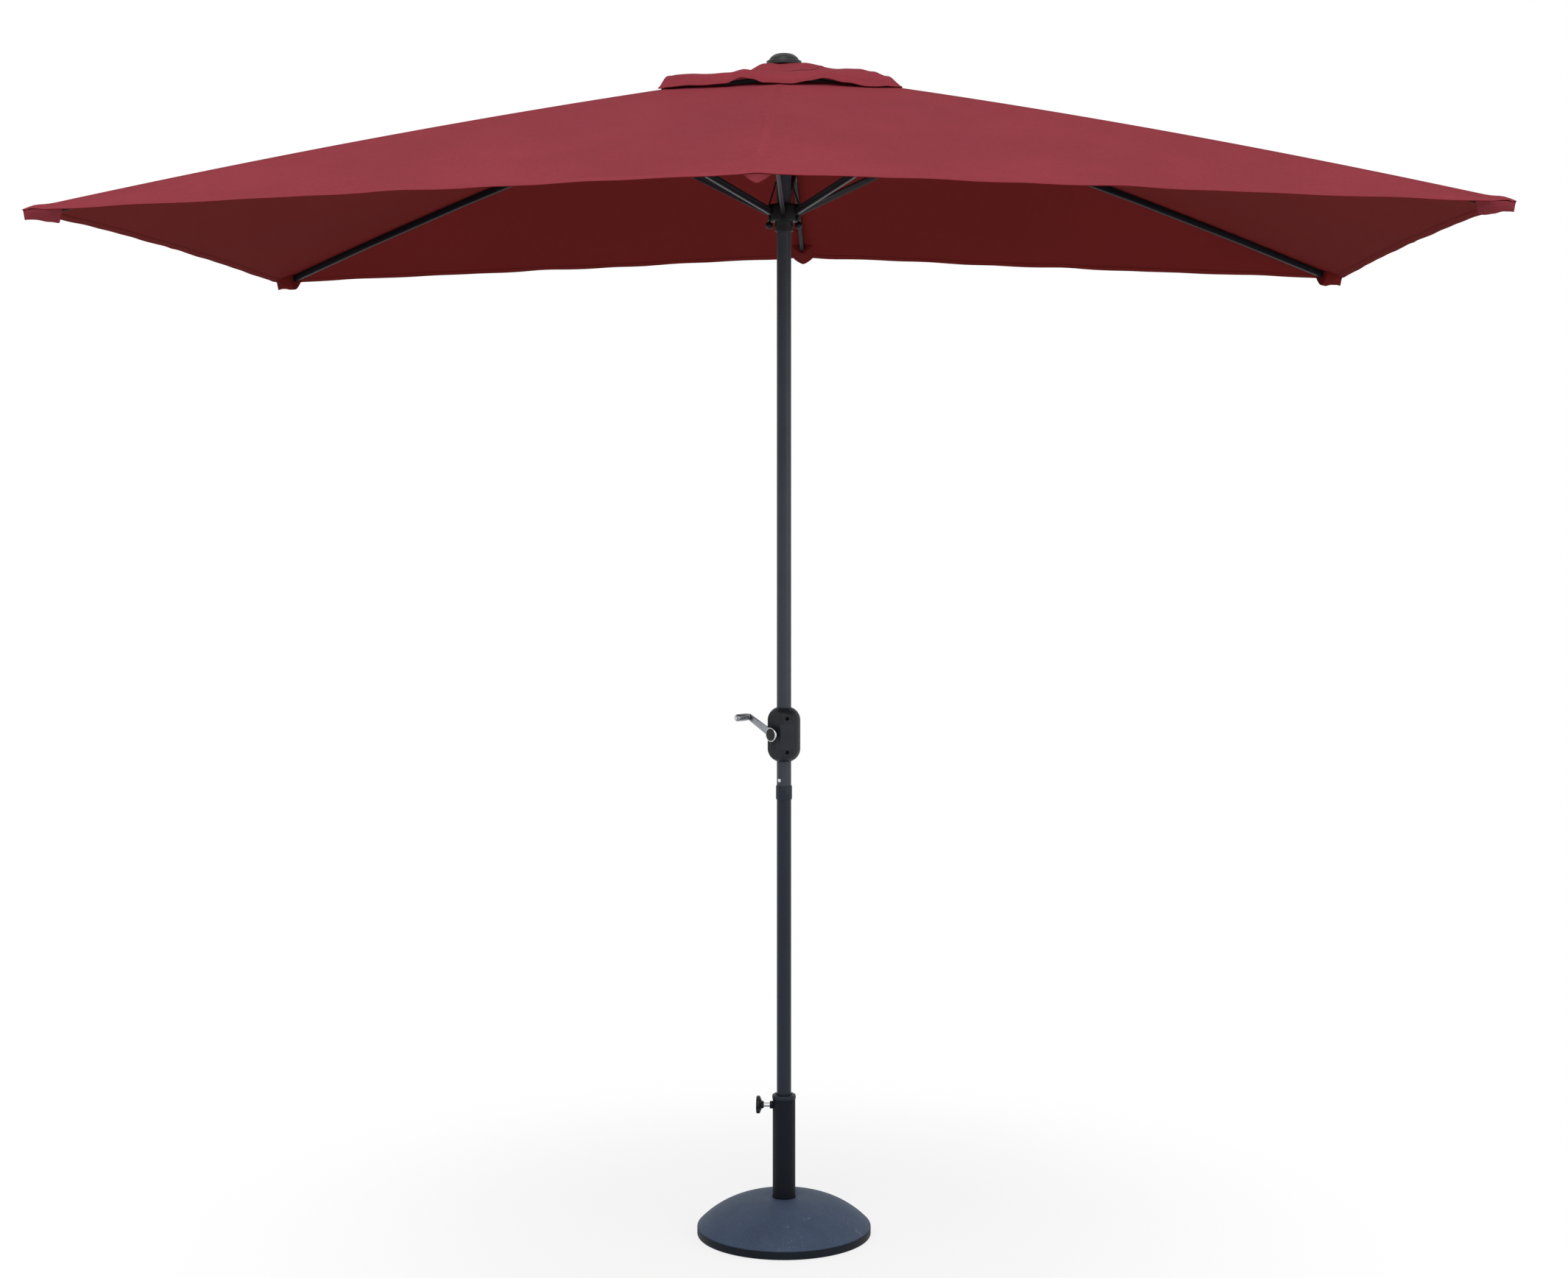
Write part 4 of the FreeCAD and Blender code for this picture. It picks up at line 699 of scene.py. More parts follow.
def turn_under(bm, fold):
    """The part of a folded hem past its fold takes the second material, the underside's."""
    layer = bm.loops.layers.uv.active
    for face in bm.faces:
        across = sum(loop[layer].uv.y for loop in face.loops) / len(face.loops)
        face.material_index = int(across > fold)


def folded_edge(name, rib, points, section, reach, inward, height, under):
    """A strip folded over an edge; its section is a list of (back from the edge, above the cloth).

    reach(point) is how far out a point of the edge lies, and height(x, y) is the cloth's top.  Inward is 1 at an
    outer edge and -1 at the edge of an opening.
    """
    length, steps = running(section), running(points)
    on_cloth = min if inward > 0 else max

    def place(u, v):
        point = pick(points, u)
        back, above = pick(section, v)
        scale = 1 - inward * back / reach(point)
        drawn, held = point * scale, point * on_cloth(1.0, scale)
        return Vector((drawn.x, drawn.y, height(held.x, held.y) + above))

    def flat(u, v):
        return (pick(steps, u), pick(length, v))

    bm = grid(len(points) - 1, len(section) - 1, place, flat)
    up_facing(bm, FOLD_MERGE)
    outermost = min(range(len(section)), key=lambda k: section[k][0])
    turn_under(bm, length[outermost])
    made = finish_mesh(name, bm, ["hem_cloth", under], f"rib_{rib}", crease=80)
    fold_with_rib(made)
    return made


def build_hem(rib, name, place, depth, inward):
    """A folded hem: the cloth's edge turned under and sewn down, seen as a band above and below."""
    # across the fold: from the top's inner line, over the edge and back under it
    section = [(depth, 0.0006), (depth * 0.6, 0.0008), (0.002, 0.0009), (0.0002, 0.0006), (-0.0011, -0.0006),
               (0.0002, -0.0019), (0.002, -0.0024), (depth * 0.6, -0.0023), (depth, -0.0021)]

    def reach(point):
        wide = abs(point.x) / HALF_LENGTH > abs(point.y) / HALF_WIDTH
        return abs(point.x) if wide else abs(point.y)

    return folded_edge(name, rib, edge_frames(rib, place, 90), section, reach, inward,
                       lambda x, y: canopy_point(x, y).z, "cloth_under_painted_shade")


def build_seam(rib):
    """The felled seam over a rib: a raised band with two rows of stitches."""
    own, _ = sector_sides(rib)
    out, across = rib_direction(rib)
    reach = own.length
    section = [(-0.0085, 0.0001), (-0.0075, 0.0006), (-0.0035, 0.0008), (0.0, 0.0009), (0.0035, 0.0008),
               (0.0075, 0.0006), (0.0085, 0.0001)]
    thickness = 1.0 if rib_kind(rib) == "corner" else 0.45
    rows = 150

    def place(u, v):
        side, above = pick(section, u)
        along = reach * (VENT_SHARE + (0.9985 - VENT_SHARE) * v)
        point = out * along + across * side
        return canopy_point(point.x, point.y, above * thickness)

    def flat(u, v):
        return (reach * v, 0.017 * u)

    bm = grid(len(section) - 1, rows, place, flat)
    up_facing(bm, FOLD_MERGE)
    made = finish_mesh(f"seam_{rib}", bm, ["seam_cloth"], f"rib_{rib}", crease=80)
    thicken(made, 0.0006)
    fold_with_rib(made)
    return made


def build_pocket(rib):
    """The sleeve that holds a rib's end: V-shaped with a blunt end, and drawn in round the rib at its mouth."""
    own, _ = sector_sides(rib)
    out, across = rib_direction(rib)
    reach = own.length
    corner = rib_kind(rib) == "corner"
    seed = 3.0 + list(RIBS).index(rib)

    def place(u, v):
        run, closing = min(1.0, u / POCKET_MOUTH), max(0.0, (u - POCKET_MOUTH) / (1 - POCKET_MOUTH))
        back = 0.0015 + 0.0725 * run
        if corner:
            depth = 0.001 + 0.022 * min(1.0, run * 24) + 0.020 * max(0.0, run - 0.08)
            half = min(0.0265, 0.004 + 0.62 * back)
        else:
            depth = 0.001 + 0.021 * min(1.0, run * 24) + 0.003 * run
            half = 0.0300
        depth += (0.0190 - depth) * closing
        half += (0.0085 - half) * closing
        turn = 2 * v - 1
        side = half * math.copysign(abs(turn) ** 0.9, turn)
        fall = depth * (1 - abs(turn) ** (1.35 + 2.0 * closing))
        ripple = 0.0016 * noise.noise(Vector((back * 60, turn * 2.2, seed)))
        point = out * (reach - back) + across * side
        base = canopy_point(*(own.normalized() * (reach - back)))
        surface = canopy_point(point.x, point.y)
        line = surface.z if abs(turn) > 0.98 else min(surface.z, base.z)
        return Vector((point.x, point.y, line - CLOTH - 0.0004 - fall + ripple * (1 - abs(turn))))

    def flat(u, v):
        return (0.075 * u, 0.09 * v)

    bm = grid(29, 22, place, flat)
    up_facing(bm, FOLD_MERGE)
    # painted shade picked by where the rib points: front pockets take the top cloth slightly darkened, rear ones
    # the painted-shade underside colour darkened further
    material = "front_pocket_painted_shade" if RIBS[rib][1] < 0 else "rear_pocket_painted_shade"
    made = finish_mesh(f"pocket_{rib}", bm, [material], f"rib_{rib}", crease=80)
    thicken(made, 0.0011, offset=1.0)
    return made


def track(table, value):
    """A smooth line through a table of (place, height)."""
    if value <= table[0][0]:
        return table[0][1]
    for (x0, y0), (x1, y1) in zip(table, table[1:]):
        if value <= x1:
            share = (value - x0) / (x1 - x0)
            share = share * share * (3 - 2 * share)
            return y0 * (1 - share) + y1 * share
    return table[-1][1]


# the cap's hem, as its height at each place along the front, and how far the top falls at each share of the way
# out to the right and left ends
CAP_FRONT_HEM = [(-0.278, 2.7310), (-0.2657, 2.7335), (-0.2057, 2.7370), (-0.1284, 2.7425), (-0.0878, 2.7560),
                 (-0.0648, 2.7530), (-0.0373, 2.7446), (0.0263, 2.7416), (0.0692, 2.7474), (0.1053, 2.7530),
                 (0.1552, 2.7450), (0.2153, 2.7340), (0.2497, 2.7345), (0.275, 2.7305)]
CAP_RIGHT_FALL = [(0.15, 0.0), (0.50, 0.022), (0.64, 0.0265), (0.76, 0.034), (0.88, 0.050), (1.0, CAP_FALL)]
CAP_LEFT_FALL = [(0.15, 0.0), (0.32, 0.026), (0.60, 0.044), (0.80, 0.0480), (0.93, 0.0400), (1.0, 0.0700)]


def cap_height(x, y):
    """The vent cap's top: clamped at the finial, puffed out by the wind, with a loose wavy hem."""
    share = max(abs(x) / (HALF_LENGTH * CAP_SHARE), abs(y) / (HALF_WIDTH * CAP_SHARE))
    turn = math.atan2(y / HALF_WIDTH, x / HALF_LENGTH)
    right = 0.5 + 0.5 * math.cos(turn)
    fall = right * track(CAP_RIGHT_FALL, share) + (1 - right) * track(CAP_LEFT_FALL, share)
    height = CAP_TOP - fall
    hem_x = x / max(share, 1e-6)
    if y < 0 and abs(y) / HALF_WIDTH >= abs(x) / HALF_LENGTH:
        hem = track(CAP_FRONT_HEM, hem_x)
    else:
        around = math.atan2(y, x)
        hem = 2.7400 + 0.0062 * math.sin(around * 7 + 0.8) + 0.0040 * math.sin(around * 12 + 2.0)
        if y < 0:
            near = min(1.0, (abs(x) / HALF_LENGTH - abs(y) / HALF_WIDTH) / (CAP_SHARE * 0.35))
            end = track(CAP_FRONT_HEM, math.copysign(HALF_LENGTH * CAP_SHARE, x))
            hem = end * (1 - near) + hem * near
    wave = hem - (CAP_TOP - CAP_FALL)
    height += wave * min(1.0, share) ** 5
    folds = noise.noise(Vector((x * 13, y * 13, 5.0)))
    height += 0.0030 * folds * min(1.0, max(0.0, share - 0.2) * 2)
    spokes = math.sin(turn * 9 + 1.3) * math.exp(-((share - 0.45) / 0.25) ** 2)
    height += 0.0016 * spokes
    if share > 0.7:
        floor = taut_height(x, y) + wrinkles(x, y) + CLOTH + 0.0035
        height = max(height, floor)
    return height


def build_cap_sector(rib):
    """One rib's share of the vent cap, from the reinforcing patch out to its folded hem."""
    own, others = sector_sides(rib)
    start = 0.30
    halves = []
    for other in others:
        def plan(u, v, other=other):
            share = (start + (1 - start) * v) * CAP_SHARE
            return own.lerp(other, 0.5 * u) * share

        def place(u, v, plan=plan):
            point = plan(u, v)
            return Vector((point.x, point.y, cap_height(point.x, point.y)))
        halves.append(grid(28, 34, place, lambda u, v: tuple(plan(u, v))))
    bm = add_grids(halves)
    up_facing(bm)
    # the inner face takes the cap's underside material, which is painted shade
    made = finish_mesh(f"cap_{rib}", bm, ["cloth_top", "cap_under_painted_shade"], f"rib_{rib}", crease=70)
    thicken(made, CLOTH, inner=1)
    fold_with_rib(made)
    return made


def build_cap_hem(rib):
    """The vent cap's folded edge."""
    section = [(VENT_HEM, 0.0005), (0.003, 0.0008), (0.0002, 0.0005), (-0.0009, -0.0006), (0.0002, -0.0018),
               (0.003, -0.0021), (VENT_HEM, -0.0019)]

    def reach(point):
        return max(abs(point.x), abs(point.y))

    return folded_edge(f"cap_hem_{rib}", rib, edge_frames(rib, CAP_SHARE, 34), section, reach, 1, cap_height,
                       "cap_under_painted_shade")


def build_cap_patch(rib):
    """The doubled cloth round the finial."""
    own, others = sector_sides(rib)
    halves = []
    for other in others:
        edge = own.lerp(other, 0.5)
        first, last = math.atan2(own.y, own.x), math.atan2(edge.y, edge.x)
        swing = (last - first + math.pi) % (2 * math.pi) - math.pi

        def place(u, v, first=first, swing=swing):
            angle = first + swing * u
            radius = PATCH_START + PATCH_WIDTH * v
            x, y = radius * math.cos(angle), radius * math.sin(angle)
            return Vector((x, y, cap_height(x, y) + 0.0009 + CLOTH * 0.6))

        def flat(u, v, first=first, swing=swing):
            return ((PATCH_START + PATCH_WIDTH) * (first + swing * u), PATCH_START + PATCH_WIDTH * v)
        halves.append(grid(14, 26, place, flat))
    bm = add_grids(halves)
    up_facing(bm)
    made = finish_mesh(f"cap_patch_{rib}", bm, ["patch_cloth"], None, crease=80)
    thicken(made, 0.0010)
    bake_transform(made)
    return made


# ---------------------------------------------------------------- hard pieces
# CAD node: material, material slot, rounding of its sharp edges in metres
FINISHES = {
    "base_weight": ("base_resin", "base_resin", 0.0016),
    "base_feet": ("foot_rubber", "rubber", 0.0003),
    "base_tube": ("socket_metal", "black_metal", 0.0),
    "base_bolt": ("zinc", "steel", 0.0004),
    "tube_lower_bush": ("black_plastic", "black_plastic", 0.0),
    "tube_top_ring": ("ring_plastic", "black_plastic", 0.0005),
    "clamp_boss": ("socket_metal", "black_metal", 0.0006),
    "clamp_screw": ("zinc", "steel", 0.0004),
    "clamp_knob": ("knob_plastic", "black_plastic", 0.0006),
    "lower_pole": ("lower_pole_metal", "black_metal", 0.0),
    "pole_foot_plug": ("black_plastic", "black_plastic", 0.0),
    "pole_collar": ("lower_pole_metal", "black_metal", 0.0003),
    "pole_joiner": ("zinc", "steel", 0.0),
    "upper_pole": ("pole_metal", "black_metal", 0.0),
    "pole_top_plug": ("black_plastic", "black_plastic", 0.0),
    "button_spring": ("zinc", "steel", 0.0),
    "housing_front": ("housing_plastic", "black_plastic", 0.0009),
    "housing_rear": ("housing_plastic", "black_plastic", 0.0009),
    "housing_screws": ("screw_black", "steel", 0.0003),
    "spool_bushes": ("black_plastic", "black_plastic", 0.0),
    "upper_hub": ("hub_plastic", "black_plastic", 0.0006),
    "hub_pins": ("zinc", "steel", 0.0),
    "finial": ("finial_plastic", "black_plastic", 0.0008),
    "finial_stud": ("zinc", "steel", 0.0),
    "cord_grommets": ("black_plastic", "black_plastic", 0.0),
    "snap_button": ("button_steel", "steel", 0.0),
    "runner": ("hub_plastic", "black_plastic", 0.0006),
    "cord_beads": ("hub_plastic", "black_plastic", 0.0005),
    "spool_shaft": ("zinc", "steel", 0.0),
    "crank_hub": ("crank_chrome", "chrome", 0.0003),
    "crank_arm": ("crank_satin", "chrome", 0.0009),
    "grip_pin": ("crank_chrome", "chrome", 0.0004),
    "crank_grip": ("crank_satin", "chrome", 0.0004),
}
for rib_name in RIBS:
    # painted shade: the ribs take a darker copy of the frame's powder coat
    FINISHES[f"rib_{rib_name}"] = ("rib_metal", "black_metal", 0.0016)
    FINISHES[f"strut_{rib_name}"] = ("frame_metal", "black_metal", 0.0020)
    FINISHES[f"bracket_{rib_name}"] = ("frame_metal", "black_metal", 0.0007)


def build_finished(node, rides=True):
    """A CAD piece with its sharp edges rounded over and a detailed finish."""
    material, slot, rounding = FINISHES[node]
    source = frame["nodes"][node]
    bm = bmesh.new()
    bm.from_mesh(source.data)
    bmesh.ops.remove_doubles(bm, verts=bm.verts, dist=2e-6)
    bmesh.ops.dissolve_degenerate(bm, edges=bm.edges, dist=1e-6)
    bmesh.ops.dissolve_limit(bm, angle_limit=math.radians(0.6), verts=bm.verts, edges=bm.edges)
    if rounding:
        sharp = [edge for edge in bm.edges
                 if edge.is_manifold and edge.calc_face_angle() > math.radians(SHARP)]
        round_edges(bm, sharp, rounding)
    for face in bm.faces:
        face.material_index = 0
    body = source["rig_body"] if rides else None
    made = finish_mesh(f"finished_{node}", bm, [material], body, crease=SHARP)
    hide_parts(node)
    return made


def polar_frame(angle):
    """The level directions outwards and across at an angle round the pole."""
    out = Vector((math.cos(angle), math.sin(angle), 0))
    return out, UP.cross(out)


def build_panel(angle, reach, low, high, width):
    """The raised panel on the crank housing's front flat, with its corners rounded."""
    out, across = polar_frame(angle)
    thickness = 0.0022
    bm = bmesh.new()
    bmesh.ops.create_cube(bm, size=1.0)
    bmesh.ops.scale(bm, vec=(thickness, width, high - low), verts=bm.verts)
    level = [edge for edge in bm.edges if (edge.verts[0].co - edge.verts[1].co).yz.length < 1e-6]
    round_edges(bm, level, 0.004, segments=5)
    sharp = [edge for edge in bm.edges if edge.calc_face_angle() > math.radians(SHARP)]
    round_edges(bm, sharp, 0.0006)
    turn = Matrix((out, across, UP)).transposed()
    bmesh.ops.rotate(bm, cent=(0, 0, 0), matrix=turn, verts=bm.verts)
    bmesh.ops.translate(bm, vec=out * reach + UP * (low + high) / 2, verts=bm.verts)
    bmesh.ops.recalc_face_normals(bm, faces=bm.faces)
    return finish_mesh("housing_panel", bm, ["panel_plastic"], "pole", crease=SHARP)


def build_disc_face(angle, reach, height, radius):
    """The plain dark face set into the crank's chrome disc."""
    out, across = polar_frame(angle)
    bm = bmesh.new()
    bmesh.ops.create_cone(bm, cap_ends=True, segments=72, radius1=radius, radius2=radius, depth=0.0008)
    rims = [edge for edge in bm.edges if edge.calc_face_angle() > math.radians(SHARP)]
    round_edges(bm, rims, 0.0003)
    bmesh.ops.rotate(bm, cent=(0, 0, 0), matrix=Matrix((across, UP, out)).transposed(), verts=bm.verts)
    bmesh.ops.translate(bm, vec=out * reach + UP * height, verts=bm.verts)
    bmesh.ops.recalc_face_normals(bm, faces=bm.faces)
    body = frame["nodes"]["crank_hub"]["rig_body"]
    return finish_mesh("crank_disc_face", bm, ["disc_face"], body, crease=SHARP)


def build_cord(points, sides=14):
    """A round cord along points, as a mesh with its own UV map in metres."""
    steps = running(points)
    tangents = []
    for k in range(len(points)):
        tangents.append((points[min(k + 1, len(points) - 1)] - points[max(k - 1, 0)]).normalized())
    side = Vector((0, 1, 0))
    frames = []
    for tangent in tangents:
        side = (side - tangent * side.dot(tangent)).normalized()
        frames.append((side, tangent.cross(side)))

    def place(u, v):
        k = round(v * (len(points) - 1))
        one, two = frames[k]
        angle = 2 * math.pi * u
        return points[k] + (one * math.cos(angle) + two * math.sin(angle)) * CORD_RADIUS

    def flat(u, v):
        return (2 * math.pi * CORD_RADIUS * u, pick(steps, v))

    bm = grid(sides, len(points) - 1, place, flat)
    bmesh.ops.remove_doubles(bm, verts=bm.verts, dist=1e-6)
    ends = [edge for edge in bm.edges if edge.is_boundary]
    bmesh.ops.holes_fill(bm, edges=ends, sides=sides)
    bmesh.ops.recalc_face_normals(bm, faces=bm.faces)
    return bm


def smooth_line(knots, count):
    """Points on a smooth curve through the knots, evenly shared between them."""
    points = []
    padded = [knots[0] * 2 - knots[1]] + list(knots) + [knots[-1] * 2 - knots[-2]]
    for a, b, c, d in zip(padded, padded[1:], padded[2:], padded[3:]):
        for k in range(count):
            t = k / count
            points.append(0.5 * (2 * b + (c - a) * t + (2 * a - 5 * b + 4 * c - d) * t * t
                                 + (3 * b - a - 3 * c + d) * t**3))
    points.append(Vector(knots[-1]))
    return points


# ---------------------------------------------------------------- settings
class UmbrellaCloth(bpy.types.PropertyGroup):
    """The canopy's cloth"""
    top_colour: bpy.props.FloatVectorProperty(
        name="Top colour", description="Colour of the cloth's upper face", subtype="COLOR", size=4,
        min=0, max=1, default=srgb(140, 55, 64))
    # painted shade: the underside colour is the canopy cloth darkened for the shade that falls under the canopy
    shaded_under_colour: bpy.props.FloatVectorProperty(
        name="Underside colour, painted shade", description="Colour of the cloth's lower face, darkened as painted shade", subtype="COLOR", size=4,
        min=0, max=1, default=srgb(109, 29, 27))
    hem_depth: bpy.props.FloatProperty(
        name="Hem depth", description="Width of the folded hem", subtype="DISTANCE", min=0.008, max=0.04,
        default=0.020)
    columns: bpy.props.IntProperty(
        name="Columns", description="Divisions from a rib to the middle of a panel", min=8, max=80, default=34)
    rows: bpy.props.IntProperty(
        name="Rows", description="Divisions from the vent to the hem", min=16, max=240, default=130)


class UmbrellaFinish(bpy.types.PropertyGroup):
    """Finishes of the hard pieces"""
    metal_colour: bpy.props.FloatVectorProperty(
        name="Frame colour", description="Colour of the powder coat", subtype="COLOR", size=4, min=0, max=1,
        default=srgb(30, 31, 36))
    pole_colour: bpy.props.FloatVectorProperty(
        name="Pole colour", description="Colour of the pole's powder coat", subtype="COLOR", size=4, min=0, max=1,
        default=srgb(50, 55, 63))
    base_colour: bpy.props.FloatVectorProperty(
        name="Base colour", description="Colour of the cast base", subtype="COLOR", size=4, min=0, max=1,
        default=srgb(62, 75, 95))
    rim_colour: bpy.props.FloatVectorProperty(
        name="Rim colour", description="Colour of the base's rim", subtype="COLOR", size=4, min=0, max=1,
        default=srgb(13, 19, 30))


class UmbrellaStage(bpy.types.PropertyGroup):
    """Floor, light and camera"""
    lens: bpy.props.FloatProperty(
        name="Lens", description="Focal length of the camera", subtype="DISTANCE_CAMERA", min=20, max=200,
        default=56.4)
    camera_distance: bpy.props.FloatProperty(
        name="Distance", description="Distance from the pole to the camera", subtype="DISTANCE", min=1, max=20,
        default=5.924)
    camera_height: bpy.props.FloatProperty(
        name="Camera height", description="Height of the camera", subtype="DISTANCE", min=0, max=5, default=1.851)
    camera_turn: bpy.props.FloatProperty(
        name="Camera turn", description="Angle of the camera round the pole", subtype="ANGLE", default=0.0541)
    shift: bpy.props.FloatProperty(
        name="Shift", description="The camera's vertical shift, in shares of the frame", default=-0.1107)
    floor_colour: bpy.props.FloatVectorProperty(
        name="Floor colour", description="Colour of the floor", subtype="COLOR", size=4, min=0, max=1,
        default=(0.88, 0.88, 0.87, 1.0))


# ---------------------------------------------------------------- operators
class UMBRELLA_OT_materials(bpy.types.Operator):
    """Make the shared effects and the materials"""
    bl_idname = "umbrella.materials"
    bl_label = "Materials"

    def execute(self, context):
        cloth = context.scene.umbrella_cloth
        finish = context.scene.umbrella_finish
        for made in (woven_cloth_group(), mottle_group(), grain_group(), scuff_group(), stitch_group()):
            GROUPS[made.name] = made
        top, under = tuple(cloth.top_colour), tuple(cloth.shaded_under_colour)
        metal, pole = tuple(finish.metal_colour), tuple(finish.pole_colour)
        MATERIALS.update({
            "cloth_top": cloth_material("Canopy cloth", top),
            # painted shade: the canopy's underside and the hems' turned-under faces take the darkened underside
            # colour
            "cloth_under_painted_shade": cloth_material("Canopy cloth underside, painted shade", under, fade=0.08),
            "hem_cloth": cloth_material("Hem cloth", top, (cloth.hem_depth * 0.35,)),
            "seam_cloth": cloth_material("Seam cloth", top, (0.003, 0.014)),
            # painted shade: the pockets are copies of one cloth, darkened a little at the front and much more at
            # the rear
            "front_pocket_painted_shade": cloth_material("Front pocket cloth, slight painted shade", darker(top, 0.94), (0.004, 0.086)),
            "rear_pocket_painted_shade": cloth_material("Rear pocket cloth, painted shade", darker(under, 0.92), (0.004, 0.086)),
            # painted shade: the vent cap's underside and its hem's turned-under face are the top cloth darkened to
            # 0.8
            "cap_under_painted_shade": cloth_material("Vent cap underside, painted shade", darker(top, 0.80), fade=0.08),
            "patch_cloth": cloth_material("Patch cloth", top, (0.104, 0.099)),
            "frame_metal": coated_metal("Frame powder coat", metal, 0.38),
            # painted shade: the frame's powder coat darkened to 0.72 for the ribs under the canopy
            "rib_metal": coated_metal("Rib powder coat, painted shade", darker(metal, 0.72), 0.52, 0.12),
            "pole_metal": coated_metal("Pole powder coat", pole, 0.40),
            "lower_pole_metal": coated_metal("Lower pole powder coat", srgb(27, 33, 43), 0.40, 0.24),
            "socket_metal": coated_metal("Socket powder coat", srgb(12, 16, 24), 0.5, 0.14),
            "hub_plastic": moulded_plastic("Hub nylon", srgb(14, 14, 15), 0.45),
            "black_plastic": moulded_plastic("Black plastic", srgb(22, 23, 25), 0.5),
            "ring_plastic": moulded_plastic("Socket ring plastic", srgb(24, 29, 38), 0.42),
            "knob_plastic": moulded_plastic("Knob plastic", srgb(17, 18, 22), 0.42),
            "housing_plastic": moulded_plastic("Housing plastic", srgb(26, 29, 34), 0.42),
            "panel_plastic": moulded_plastic("Housing panel plastic", srgb(34, 38, 45), 0.46),
            "screw_black": moulded_plastic("Blackened steel", srgb(16, 16, 17), 0.4),
            "disc_face": moulded_plastic("Crank disc face", srgb(34, 33, 34), 0.38),
            "finial_plastic": moulded_plastic("Finial plastic", srgb(35, 36, 36), 0.36),
            "foot_rubber": moulded_plastic("Foot rubber", srgb(22, 22, 22), 0.8, 300.0),
            "base_resin": cast_resin("Cast resin", tuple(finish.base_colour), tuple(finish.rim_colour)),
            "zinc": bare_metal("Zinc plate", srgb(196, 200, 202), 0.28),
            "button_steel": bare_metal("Polished steel", srgb(214, 214, 212), 0.16),
            "crank_chrome": bare_metal("Chrome plate", srgb(205, 208, 212), 0.10, 0.08),
            "crank_satin": bare_metal("Satin plate", srgb(152, 155, 160), 0.26, 0.16, 0.2),
            "cord": braided_cord("Lift cord", srgb(38, 36, 36)),
        })
        return {"FINISHED"}


class UMBRELLA_OT_canopy(bpy.types.Operator):
    """Stretch the canopy cloth over the ribs, with its seams, hems and rib pockets"""
    bl_idname = "umbrella.canopy"
    bl_label = "Canopy"

    def execute(self, context):
        cloth = context.scene.umbrella_cloth
        for rib in RIBS:
            sector, area = build_sector(rib, cloth.columns, cloth.rows)
            hem = build_hem(rib, f"hem_{rib}", 1.0, cloth.hem_depth, 1.0)
            vent = build_hem(rib, f"vent_hem_{rib}", VENT_SHARE, VENT_HEM, -1.0)
            seam = build_seam(rib)
            pocket = build_pocket(rib)
        return {"FINISHED"}


class UMBRELLA_OT_vent_cap(bpy.types.Operator):
    """Hang the loose vent cap under the finial"""
    bl_idname = "umbrella.vent_cap"
    bl_label = "Vent cap"

    def execute(self, context):
        for rib in RIBS:
            cap = build_cap_sector(rib)
            hem = build_cap_hem(rib)
            patch = build_cap_patch(rib)
            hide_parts("vent_cap")
        return {"FINISHED"}


class UMBRELLA_OT_frame(bpy.types.Operator):
    """Finish the pole, hub, ribs, struts, housing, crank and base"""
    bl_idname = "umbrella.frame"
    bl_label = "Hard pieces"

    def execute(self, context):
        for node in FINISHES:
            if node != "button_spring":
                build_finished(node)
        # the spring is left on no body, baked where it stands
        spring = build_finished("button_spring", rides=False)
        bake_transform(spring)
        build_panel(HOUSING_FRONT, 0.0355, 1.1676, 1.2316, 0.033)
        build_disc_face(CRANK_FRONT, 0.0452, 1.205, 0.0146)
        return {"FINISHED"}


class UMBRELLA_OT_cords(bpy.types.Operator):
    """Run the lift cords up inside the pole, over their lips and down to the runner"""
    bl_idname = "umbrella.cords"
    bl_label = "Lift cords"

    def execute(self, context):
        inner, outer = [], []
        for side in (-1, 1):
            exit_point = Vector((side * 0.02095, 0, CORD_EXIT))
            lip, turn = 0.01675, 0.0042
            loop = []
            for k in range(17):
                angle = math.pi * (1 - k / 16)
                loop.append(Vector((side * (lip + turn * math.cos(angle)), 0, CORD_EXIT + turn * math.sin(angle))))
            rise = [Vector((side * 0.01255, 0, z)) for z in (1.5, 1.9, 2.3, 2.5)]
            drum = Vector((-0.0092 + side * -0.0033, 0.0102 + side * -0.0037, 1.2105))
            start = [drum, drum + Vector((0, 0, 0.08))]
            inner.append(build_cord(smooth_line(start + rise, 10) + loop))
            knots = [exit_point, Vector((side * 0.0216, 0, 2.5262)), Vector((side * 0.0262, 0, 2.510)),
                     Vector((side * 0.0318, 0, 2.493)), Vector((side * 0.0350, 0, 2.482)),
                     Vector((side * 0.0355, 0, 2.474)), Vector((side * 0.0355, 0, 2.430))]
            outer.append(build_cord(smooth_line(knots, 14)))
        hidden = finish_mesh("cord_in_pole", add_grids(inner), ["cord"], "pole", crease=80)
        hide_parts("lift_cord_inner")
        legs = finish_mesh("cord_to_runner", add_grids(outer), ["cord"], None, crease=80)
        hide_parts("lift_cord_outer")
        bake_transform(legs)
        return {"FINISHED"}


